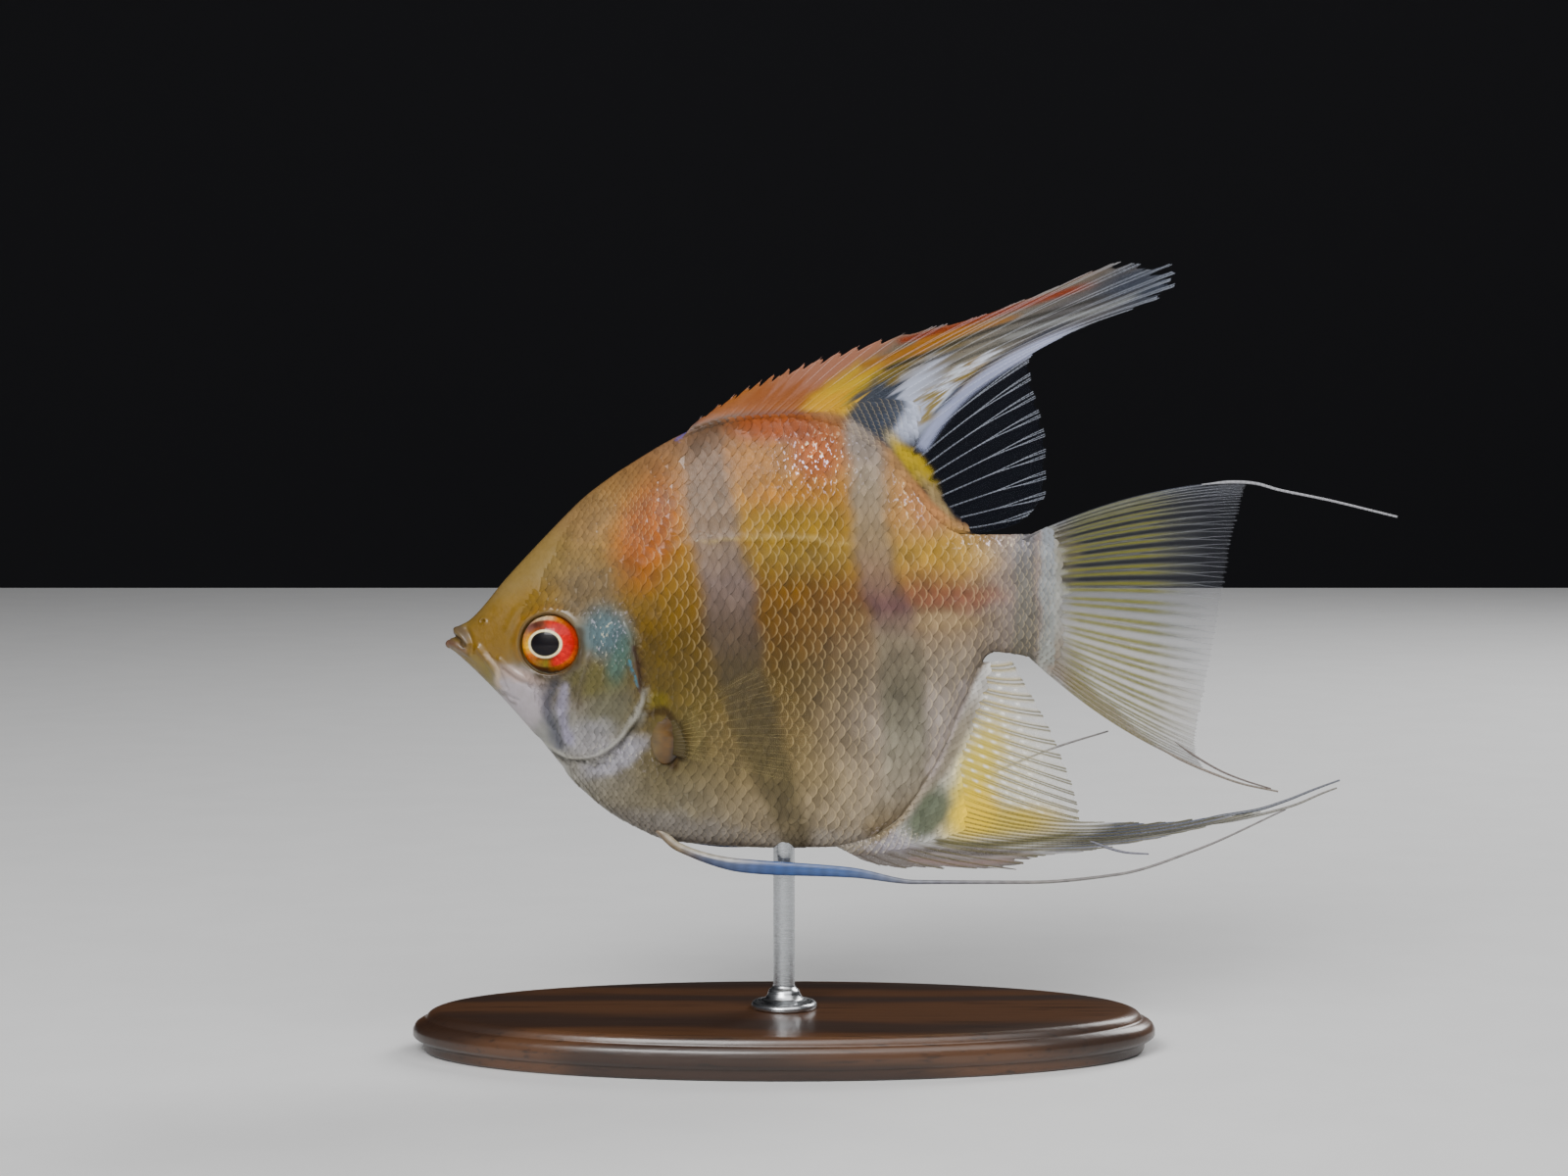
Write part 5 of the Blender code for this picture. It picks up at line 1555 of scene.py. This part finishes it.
def turned(profile, perSpan):
    # a turned profile, with a few points along each span and its corners kept nearly sharp
    points = []
    for (r0, z0), (r1, z1) in zip(profile, profile[1:]):
        near = min(0.12, 0.25 * math.hypot(r1 - r0, z1 - z0)) / max(math.hypot(r1 - r0, z1 - z0), 1e-6)
        for share in (near, *(k / perSpan for k in range(1, perSpan)), 1 - near):
            points.append((r0 + (r1 - r0) * share, z0 + (z1 - z0) * share))
    return points


def lathe(name, profile, stretch, segments, material, slot, node, perSpan=2):
    radius, z = np.array(turned(profile, perSpan)).T[..., None]
    angles = np.linspace(0, 2 * math.pi, segments, endpoint=False)
    rings = np.stack(np.broadcast_arrays(radius * stretch[0] * np.cos(angles),
                                         radius * stretch[1] * np.sin(angles), z), -1)
    points = np.vstack([rings.reshape(-1, 3), [(0, 0, profile[0][1]), (0, 0, profile[-1][1])]])
    mesh = meshOf(name, points * mm, shellFaces(*rings.shape[:2], poles=True), material)
    addPiece(name, mesh, slot, node)


def woodMaterial():
    w = Material("walnut")
    at = w.objectPlace()
    bend = w.noise(w.stretched(at, (1.0, 4.0, 4.0)), 9.0, 2.0)
    split = w.axes(at)
    rings = w.math("ADD", w.math("MULTIPLY", split["Y"], 420.0), w.math("MULTIPLY", bend, 14.0))
    rings = w.math("ADD", rings, w.math("MULTIPLY", split["Z"], 300.0))
    band = w.math("MULTIPLY_ADD", w.math("SINE", rings), 0.5, 0.5)
    pores = w.noise(w.stretched(at, (40.0, 900.0, 900.0)), 1.6, 4.0)
    tone = w.mix(w.remap(band, 0.1, 0.95), tuple(linear(44, 31, 24)), tuple(linear(74, 53, 40)))
    tone = w.mix(w.remap(pores, 0.55, 0.72, 0.0, 0.7), tone, tuple(linear(26, 18, 14)))
    normal = w.bump(pores, 0.25, 0.0002)
    return w.set(Base_Color=tone, Roughness=w.remap(band, 0.0, 1.0, 0.42, 0.34), Normal=normal,
                 Coat_Weight=0.35, Coat_Roughness=0.2)


def steelMaterial():
    w = Material("steel")
    at = w.objectPlace()
    brush = w.noise(w.stretched(at, (300.0, 300.0, 9000.0)), 1.0, 3.0)
    tone = w.mix(brush, tuple(linear(176, 178, 180)), tuple(linear(206, 208, 210)))
    return w.set(Base_Color=tone, Metallic=1.0, Roughness=w.remap(brush, 0.3, 0.7, 0.22, 0.36),
                 Normal=w.bump(brush, 0.15, 0.00005))


lathe("stand_base_turned", stand["profile"], (stand["length"] / 2, stand["width"] / 2),
      stand["baseSegments"], woodMaterial(), "stand_wood", "stand_base")
lathe("stand_rod_turned", stand["rod"], (1, 1), stand["rodSegments"], steelMaterial(), "stand_steel",
      "stand_rod", perSpan=3)
print("stand made")


# the scales: thin overlapping plates laid in rows along the body

coat = {
    "rows": 60,  # above the reference height, and as many below
    "rowGap": 1.2,
    "along": 1.6,
    "length": 3.0,
    "width": 2.9,
    "rise": (-0.09, 0.25, 0.05),  # at the root, gained by the free edge, and lost at the sides
    "grades": [1.0, 0.84, 0.68, 0.54],
    "wobble": 0.07,  # how far scales turn astray, in radians
    "tint": 0.1,  # how much neighbouring scales differ in shade
    "smallBelow": 0.75,  # the growth below which the simpler scale is used
    "patch": 0.003,  # the size of each scale's own place on the unwrap
    "seed": 11,
    "astray": (0.06, 0.05),  # how far scales stray across and along the rows, in gaps and steps
    "sizes": 0.05,  # how much neighbouring scales differ in size
    "sheet": (0.25, 301),  # the grid they are placed on: step along the body, and points up a side
    "start": -40.0,  # the x from which the rows run back
    "reference": -4.0,  # the height from which the rows are counted
    "bareEdge": [(-29.0, 13.0), (-34.5, 2.0), (-37.4, -3.0), (-37.9, -8.0), (-36.6, -12.6), (-34.6, -17.0),
                 (-32.6, -20.6), (-30.6, -26.0)],
    "eyeGap": 5.15,  # no scale is rooted nearer to the eye's middle
    "size": {  # places where scales shrink: x, height, size along and across, turn, share taken away
        "head": (-29.0, -12.0, 12.5, 14.0, 20, 0.52),
        "nape": (-27.0, 9.0, 13.0, 7.5, 44, 0.48),
        "breast": (-24.0, -28.0, 16.0, 6.0, -35, 0.42),
        "belly": (-6.0, -36.0, 18.0, 3.6, 0, 0.36),
        "rear": (33.0, -1.0, 9.0, 13.0, 0, 0.34),
        "tail": (36.5, -1.0, 4.5, 12.0, 0, 0.5),
    },
}


def scaleShape(name, rows, columns):
    # a rounded plate that rises to its free edge, closed underneath
    points, rises, spots = [], [], []
    low, gain, lost = coat["rise"]
    for r in range(rows + 1):
        for c in range(columns + 1):
            s, w = r / rows, 2 * c / columns - 1
            spread = 0.62 + 0.38 * math.sin(math.pi * min(s / 0.62, 1) / 2)
            x = coat["length"] * s * (1 - 0.36 * w * w)
            points.append((x * mm, coat["width"] / 2 * w * spread * mm, 0))
            rises.append(low + gain * s**1.3 - lost * w * w)
            spots.append((s, (w + 1) / 2, 0))
    points.append((coat["length"] * 0.35 * mm, 0, 0))
    rises.append(low - 0.16)
    spots.append((0.4, 0.5, 0))
    rim = ([(0, c) for c in range(columns)] + [(r, columns) for r in range(rows)]
           + [(rows, c) for c in range(columns, 0, -1)] + [(r, 0) for r in range(rows, 0, -1)])
    index = [r * (columns + 1) + c for r, c in rim]
    faces = gridFaces(rows + 1, columns + 1)
    faces += [[a, b, len(points) - 1] for a, b in zip(index, index[1:] + index[:1])]
    mesh = bpy.data.meshes.new(name)
    mesh.from_pydata(points, [], faces)
    addNumbers(mesh, rise=np.array(rises) * mm, spot=spots)
    return newObject(name, mesh)


def coatTree():
    t = Shaping("scale_coat", "Coat", Roots="Geometry", Skin="Object", Scale="Object", Small_Scale="Object",
                Patch="Float", Wobble="Float", Seed="Int", Material="Material")
    given, vector = t.given, {"data_type": "FLOAT_VECTOR"}
    # scales stand on their roots, turned to the lie of the coat and a little astray
    frameOf = t.run("FunctionNodeAxesToRotation", {"primary_axis": "Z", "secondary_axis": "X"},
                    Primary_Axis=t.named("out", "FLOAT_VECTOR"),
                    Secondary_Axis=t.named("lie", "FLOAT_VECTOR"))
    turn = t.node("FunctionNodeRandomValue", {"data_type": "FLOAT"}, Seed=given["Seed"])
    t.feed(turn.inputs[2], t.math("MULTIPLY", given["Wobble"], -1.0))
    t.feed(turn.inputs[3], given["Wobble"])
    spin = t.run("FunctionNodeAxisAngleToRotation", Axis=(0, 0, 1), Angle=turn.outputs[1])
    facing = t.run("FunctionNodeRotateRotation", {"rotation_space": "LOCAL"}, Rotation=frameOf,
                   Rotate_By=spin)
    small = t.run("FunctionNodeCompare", {"data_type": "FLOAT", "operation": "LESS_THAN"},
                  A=t.named("grow"), B=coat["smallBelow"])
    large = t.sum("FunctionNodeBooleanMath", "NOT", small)
    both = t.node("GeometryNodeJoinGeometry")
    for shape, choice in (("Scale", large), ("Small Scale", small)):
        source = t.node("GeometryNodeObjectInfo", Object=given[shape]).outputs["Geometry"]
        placed = t.run("GeometryNodeInstanceOnPoints", Points=given["Roots"], Selection=choice,
                       Instance=source, Rotation=facing, Scale=t.named("grow"))
        t.feed(both.inputs[0], placed)
    whole = t.run("GeometryNodeRealizeInstances", Geometry=both.outputs[0])
    # every point goes to the nearest place on the skin, and rises from it
    ground = t.node("GeometryNodeObjectInfo", Object=given["Skin"]).outputs["Geometry"]
    nearest, outward = (t.run("GeometryNodeSampleNearestSurface", vector, Mesh=ground, Value=t.run(field))
                        for field in ("GeometryNodeInputPosition", "GeometryNodeInputNormal"))
    high = t.math("MULTIPLY", t.named("rise"), t.named("grow"))
    lift = t.run("ShaderNodeVectorMath", {"operation": "SCALE"}, Vector=outward, Scale=high)
    laid = t.run("GeometryNodeSetPosition", Geometry=whole, Position=t.vector("ADD", nearest, lift))
    # each scale's patch on the unwrap lies at its root's place
    centred = t.vector("SUBTRACT", t.named("spot", "FLOAT_VECTOR"), (0.5, 0.5, 0))
    sized = t.run("ShaderNodeVectorMath", {"operation": "SCALE"}, Vector=centred, Scale=given["Patch"])
    mapped = t.vector("ADD", sized, t.named("root", "FLOAT_VECTOR"))
    unwrapped = t.run("GeometryNodeStoreNamedAttribute", {"data_type": "FLOAT2", "domain": "CORNER"},
                      Geometry=laid, Name="OFBake", Value=mapped)
    return t.finish(unwrapped)


class BodySheet:
    # one side of the body as an even grid, read at any x and distance up the side
    def __init__(self):
        self.step, count = coat["sheet"]
        self.xs = np.arange(coat["start"], tailWedge["end"] - 0.05, self.step)
        profiles = sideProfiles(self.xs, count)
        x = np.broadcast_to(self.xs[:, None], profiles.shape[:2])
        self.grid = np.stack([x, profiles[..., 0], profiles[..., 1]], -1)
        self.length = np.linalg.norm(np.diff(self.grid, axis=1), axis=-1).sum(1)
        self.level = np.array([np.interp(coat["reference"], row[:, 1], np.linspace(0, 1, count))
                               for row in profiles])
        along, around = np.gradient(self.grid, axis=0), np.gradient(self.grid, axis=1)
        out = np.cross(along, around)
        out *= np.sign(out[..., 1:2].mean() + out[:, count // 2:count // 2 + 1, 1:2])
        self.out = out / np.linalg.norm(out, axis=-1, keepdims=True)

    def share(self, x, up):
        return np.interp(x, self.xs, self.level) + up / np.interp(x, self.xs, self.length)

    def read(self, table, x, share):
        i = np.clip((x - self.xs[0]) / self.step, 0, len(self.xs) - 1.001)
        j = np.clip(share, 0, 1) * (table.shape[1] - 1.001)
        a, b = i.astype(int), j.astype(int)
        s, t = (i - a)[:, None], (j - b)[:, None]
        return ((table[a, b] * (1 - t) + table[a, b + 1] * t) * (1 - s)
                + (table[a + 1, b] * (1 - t) + table[a + 1, b + 1] * t) * s)


def scaleSize(x, height, fromEdge):
    size = np.ones_like(x)
    for atX, atHeight, long, wide, turn, taken in coat["size"].values():
        far = ovalDistance(x, height, atX, atHeight, long, wide, turn)
        size = np.minimum(size, 1 - taken * (1 - smoothStep(0.62, 1.25, far)))
    return np.minimum(size, 0.6 + 0.4 * smoothStep(0.4, 3.4, fromEdge))


def scaleRoots(sheet):
    # rows of roots for every grade, each kept where its grade is wanted
    random = np.random.RandomState(coat["seed"])
    kept = []
    grades = coat["grades"]
    for number, grade in enumerate(grades):
        rows = np.arange(-coat["rows"], coat["rows"] + 1)
        gap, step = coat["rowGap"] * grade, coat["along"] * grade
        columns = np.arange(coat["start"], tailWedge["end"] - 0.6, step)
        up, x = np.meshgrid(rows * gap, columns, indexing="ij")
        x = x + (rows % 2)[:, None] * step / 2
        up = up + coat["astray"][0] * gap * random.randn(*up.shape)
        x = (x + coat["astray"][1] * step * random.randn(*up.shape)).ravel()
        share = sheet.share(x, up.ravel())
        inside = (share > 0.006) & (share < 0.994) & (x < tailWedge["end"] - 0.3)
        x, share = x[inside], share[inside]
        places = sheet.read(sheet.grid, x, share)
        height = places[:, 2]
        fromEdge = np.minimum(share, 1 - share) * np.interp(x, sheet.xs, sheet.length)
        wanted = scaleSize(x, height, fromEdge)
        nearest = np.argmin(abs(wanted[:, None] - np.array(grades)), axis=1)
        bare, _ = lineDistance(x, height, coat["bareEdge"])
        centre = eye["place"]
        clear = bare > 0.2
        for reach in (0, 0.7, 1.4):  # neither a scale's root nor its free edge may lie over the eye
            clear &= np.hypot(x + reach - centre[0], height - centre[1]) > coat["eyeGap"] - 0.3 * reach
        choice = (nearest == number) & clear
        kept.append(np.column_stack([x, share, np.full(len(x), grade)])[choice])
    return np.vstack(kept)


def scalePoints(name, places, outs, lies, grows, roots):
    mesh = bpy.data.meshes.new(name)
    mesh.from_pydata(place(places).tolist(), [], [])
    addNumbers(mesh, out=outs, lie=lies, root=roots, grow=grows)
    return newObject(name + "_roots", mesh)


def makeCoat(name, roots, ground, material):
    mesh = runTree(roots, coatLaying, Skin=ground, Scale=scaleLarge, Small_Scale=scaleSmall,
                   Patch=coat["patch"], Wobble=coat["wobble"], Seed=coat["seed"], Material=material)
    mesh.name = name
    mesh.shade_smooth()
    mesh.set_sharp_from_angle(angle=math.radians(50))
    return mesh


def inMargins(share):
    # a share of the unwrap, kept off its edges
    return 0.02 + 0.96 * share


def bodyCoat(side, sign, sheet, roots, ground, material):
    x, share, grade = roots.T
    places = sheet.read(sheet.grid, x, share)
    outs = sheet.read(sheet.out, x, share)
    up = (share - np.interp(x, sheet.xs, sheet.level)) * np.interp(x, sheet.xs, sheet.length)
    ahead = sheet.read(sheet.grid, x + 0.3, sheet.share(x + 0.3, up))
    behind = sheet.read(sheet.grid, x - 0.3, sheet.share(x - 0.3, up))
    lies = ahead - behind
    for table in (places, outs, lies):
        table[:, 1] *= sign
    random = np.random.RandomState(coat["seed"] + int(sign))
    grows = grade * (1 + coat["sizes"] * random.randn(len(grade)))
    passed = (x - coat["start"]) / (tailWedge["end"] - coat["start"])
    root = np.column_stack([inMargins(passed), inMargins(share), np.zeros(len(x))])
    points = scalePoints("scales_" + side, places, outs, lies, grows, root)
    mesh = makeCoat("scales_" + side, points, ground, material)
    paintCoat(mesh, bodyColours, bodyLustre)
    addPiece("scales_" + side, mesh, "skin", "head", "lower_jaw", "gill_cover_" + side, "trunk",
              "tail_base")
    print("scales on the", side, "side:", len(x), "with", len(mesh.polygons), "faces")


def scaleNumbers(mesh):
    # which scale each point belongs to, as every scale is realized in one run of points
    spots = numbersOf(mesh.attributes["spot"].data, "vector", 3)
    return np.cumsum((spots[:, :2] == 0).all(1))


def paintCoat(mesh, painter, shine):
    x, _, height = placesOf(mesh)
    random = np.random.RandomState(coat["seed"])
    tint = 1 + coat["tint"] * random.randn(len(x))[scaleNumbers(mesh)]
    setColours(mesh, "marks", painter(x, height) * np.clip(tint, 0.7, 1.35)[:, None])
    setColours(mesh, "lustre", shine(x, height))


def scaleMaterial():
    w = Material("scales")
    at = w.objectPlace()
    marks = w.attribute("marks")["Color"]
    lustre = w.parts(w.attribute("lustre")["Color"])
    spot = w.axes(w.attribute("spot")["Vector"])
    ridges = w.math("SINE", w.math("MULTIPLY", spot["X"], 70.0))
    fine = w.noise(at, 2400.0, 3.0)
    wide = w.noise(at, 420.0, 2.0)
    aside = w.math("ABSOLUTE", w.math("MULTIPLY_ADD", spot["Y"], 2.0, -1.0))
    edge = w.math("MULTIPLY", w.remap(spot["X"], 0.88, 0.98), w.remap(aside, 0.85, 0.2))
    # each scale is darker towards its root, where the scale ahead lies over it: painted shadow of that
    # scale
    inside = w.remap(spot["X"], 0.4, 0.85)
    base = w.mix(w.remap(wide, 0.3, 0.7), marks, w.mix(0.2, marks, (0.03, 0.025, 0.02)))
    dark = w.mix(0.3, base, (0.02, 0.014, 0.006))
    base = w.mix(inside, dark, base)
    # the free edge is painted as a lighter copy of the colour, partly its pale margin and partly painted
    # highlight; where the lustre's red is low it takes a darker copy
    light = w.mix(0.5, w.mix(1.0, marks, (1.7, 1.65, 1.5), "MULTIPLY"), (0.6, 0.46, 0.24))
    tone = w.mix(w.math("MULTIPLY", edge, w.remap(lustre[0], 0.5, 1.0, 0.0, 0.42)), base, light)
    shade = w.mix(0.6, marks, (0.03, 0.027, 0.027))
    tone = w.mix(w.math("MULTIPLY", edge, w.remap(lustre[0], 0.0, 0.5, 0.8, 0.0)), tone, shade)
    # painted glints: pale specks laid into the colour near the free edge, where the lustre's blue asks for
    # them
    speck = w.remap(w.noise(w.stretched(at, (1.0, 1.0, 0.55)), 3000.0, 1.0), 0.57, 0.64)
    glint = w.math("MULTIPLY", w.math("MULTIPLY", speck, lustre[2]), w.remap(spot["X"], 0.7, 0.9))
    shine = w.mix(w.remap(wide, 0.45, 0.55), (1.0, 0.9, 0.62), (0.92, 0.84, 1.0))
    tone = w.mix(glint, tone, w.mix(0.35, shine, marks))
    rough = w.remap(fine, 0.3, 0.7, 0.36, 0.52)
    metal = w.math("MULTIPLY_ADD", lustre[1], 0.5, w.math("MULTIPLY", glint, 0.4))
    normal = w.bump(w.math("MULTIPLY_ADD", ridges, 0.25, fine), 0.2, 0.00008)
    return w.set(Base_Color=tone, Roughness=rough, Metallic=metal, Normal=normal,
                 Specular_IOR_Level=0.13, Coat_Weight=0.05, Coat_Roughness=0.2)


def finRoots(node, depths, spacing, sign):
    # small scales over the foot of a fin, running out along its rays
    fan = Fan(fins[node])
    depthAt = through(depths)
    found = []
    shares = np.linspace(0, 1, 1201)
    foot = fan.at(shares, np.zeros_like(shares))
    passed = lengthAlong(foot)
    for number, distance in enumerate(np.arange(0, passed[-1], spacing * 0.75)):
        share = float(np.interp(distance, passed, shares))
        steps = np.linspace(0, 1, 400)
        line = fan.at(np.full_like(steps, share), steps)
        length = lengthAlong(line)
        for out in np.arange((number % 2) * spacing / 2, rootInset + float(depthAt(share)), spacing):
            t = float(np.interp(out, length, steps))
            ahead = min(t + 0.02, 1)
            a, b = (fan.at(np.array([share]), np.array([k]))[0] for k in (t, ahead))
            y = float(fan.middleY(np.array([share]), np.array([t]))[0]) + sign * 0.3
            found.append((a[0], y, a[1], b[0] - a[0], b[1] - a[1], share, out))
    return np.array(found)


finCoats = {  # how far up the fin the scales reach, by share across it, and the gap between them
    "dorsal_fin": ([(0, -1.4), (0.34, -1.2), (0.42, 2.0), (0.48, 5.0), (0.56, 7.2), (0.64, 5.0), (0.7, 1.4),
                    (1, 0.4)], 0.8),
    "anal_fin": ([(0, 0.8), (0.3, 2.6), (0.45, 6.5), (0.6, 4.2), (0.7, 2.0), (1, 0.8)], 0.85),
    "caudal_fin": ([(0, 2.4), (0.5, 1.9), (1, 2.6)], 0.8),
}


def makeFinCoat(node, material):
    depths, spacing = finCoats[node]
    ground = bpy.data.objects[node + "_web"]
    places, outs, lies, roots = [], [], [], []
    for sign in sides.values():
        found = finRoots(node, depths, spacing, sign)
        places.append(found[:, :3])
        outs.append(np.tile((0, sign, 0), (len(found), 1)))
        lies.append(np.column_stack([found[:, 3], np.zeros(len(found)), found[:, 4]]))
        v = 0.25 + 0.5 * (sign > 0) + 0.02 * found[:, 6]
        roots.append(np.column_stack([inMargins(found[:, 5]), v, np.zeros(len(found))]))
    places, outs, lies, roots = (np.vstack(rows) for rows in (places, outs, lies, roots))
    grows = np.full(len(places), spacing / coat["along"])
    points = scalePoints(node + "_scales", places, outs, lies, grows, roots)
    mesh = makeCoat(node + "_scales", points, ground, material)
    paintCoat(mesh, lambda x, height: finScaleColours(fins[node], x, height), finLustre)
    addPiece(node + "_scales", mesh, fins[node]["slot"], node)
    print("scales on", node, len(places), "with", len(mesh.polygons), "faces")


def finScaleColours(design, x, height):
    # the body's colour at the foot gives way to the fin's
    colours = finPaint(design, x, height, np.full_like(x, 0.9))[:, :3]
    profile = np.where(height > (backAt(x) + bellyAt(x)) / 2, height - backAt(x), bellyAt(x) - height)
    inBody = smoothStep(1.6, 0.2, np.where(x > tailWedge["end"], 9, profile))
    return lay(colours, bodyColours(x, height), inBody)


finShine = {  # turned ovals, softened at the edge
    "dark": ((12.4, 23.6, 4.6, 4.0, 45), 0.2),  # pale rims in the dorsal fin's dark patch
    # the silver front of the anal fin also takes painted glints
    "silver": ((14.0, -35.6, 5.25, 2.52, 0), 0.238),  # silver at the front of the anal fin
}


def finLustre(x, height):
    dark, silver = (inOval(x, height, *entry) for entry in finShine.values())
    return np.stack([0.5 + 0.5 * np.maximum(dark, silver), 0.1 + 0.4 * silver, 0.5 * silver], -1)


coatLaying = coatTree()
scaleLarge, scaleSmall = scaleShape("scale", 5, 6), scaleShape("scale_small", 4, 4)
bodySheet = BodySheet()
bodyRoots = scaleRoots(bodySheet)
scaleLook = scaleMaterial()
for side, sign in sides.items():
    bodyCoat(side, sign, bodySheet, bodyRoots, skinPiece, scaleLook)
for node in finCoats:
    makeFinCoat(node, scaleLook)
for shape in (scaleLarge, scaleSmall):
    bpy.data.objects.remove(shape)
print("coat made")


# the studio

stage = {
    "floor": [(-1.5, -1.2, 0), (1.5, -1.2, 0), (1.5, 0.93, 0), (-1.5, 0.93, 0)],
    "floorTone": (0.68, 0.68, 0.68),
    "backdrop": [(-2.5, 1.6, -0.5), (2.5, 1.6, -0.5), (2.5, 1.6, 2.2), (-2.5, 1.6, 2.2)],
    "backTone": (0.014, 0.014, 0.017),
    "airTone": (0.05, 0.05, 0.055),
    "lights": {  # place, size and power
        "key": ((-0.25, -0.68, 0.54), (0.4, 0.3), 9.0),
        "fill": ((0.35, -0.66, 0.84), (1.0, 0.8), 7.0),
        "rim": ((0.5, 0.5, 0.5), (0.4, 0.4), 5.0),
    },
    "aim": (0.0, 0.0, 0.065),
    "cameraAway": 0.515,
    "cameraRise": 4.0,
    "lens": 85.0,
}


def plainMaterial(name, tone, roughness):
    w = Material(name)
    grain = w.noise(w.objectPlace(), 60.0, 4.0)
    shade = w.mix(w.remap(grain, 0.3, 0.7), tuple(0.97 * v for v in tone), tone)
    return w.set(Base_Color=shade, Roughness=roughness)


def addPlane(name, tone, roughness):
    material = plainMaterial(name, tone, roughness)
    newObject(name, meshOf(name, stage[name], [[0, 1, 2, 3]], material))


def addLight(name, at, size, power):
    lamp = bpy.data.lights.new(name, "AREA")
    lamp.shape = "RECTANGLE"
    lamp.size, lamp.size_y = size
    lamp.energy = power
    made = newObject(name, lamp)
    made.location = at
    made.rotation_euler = (Vector(stage["aim"]) - Vector(at)).to_track_quat("-Z", "Y").to_euler()


def makeCamera():
    lens = bpy.data.cameras.new("camera")
    lens.lens = stage["lens"]
    lens.clip_start = 0.01
    camera = newObject("camera", lens)
    rise = math.radians(stage["cameraRise"])
    aim = Vector(stage["aim"])
    camera.location = aim + stage["cameraAway"] * Vector((0, -math.cos(rise), math.sin(rise)))
    camera.rotation_euler = (aim - camera.location).to_track_quat("-Z", "Y").to_euler()
    bpy.context.scene.camera = camera


addPlane("floor", stage["floorTone"], 0.85)
addPlane("backdrop", stage["backTone"], 0.95)
for name, light in stage["lights"].items():
    addLight(name, *light)
makeCamera()
world = bpy.data.worlds.new("world")
bpy.context.scene.world = world
world.use_nodes = True
world.node_tree.nodes["Background"].inputs["Color"].default_value = (*stage["airTone"], 1)
print("studio made")
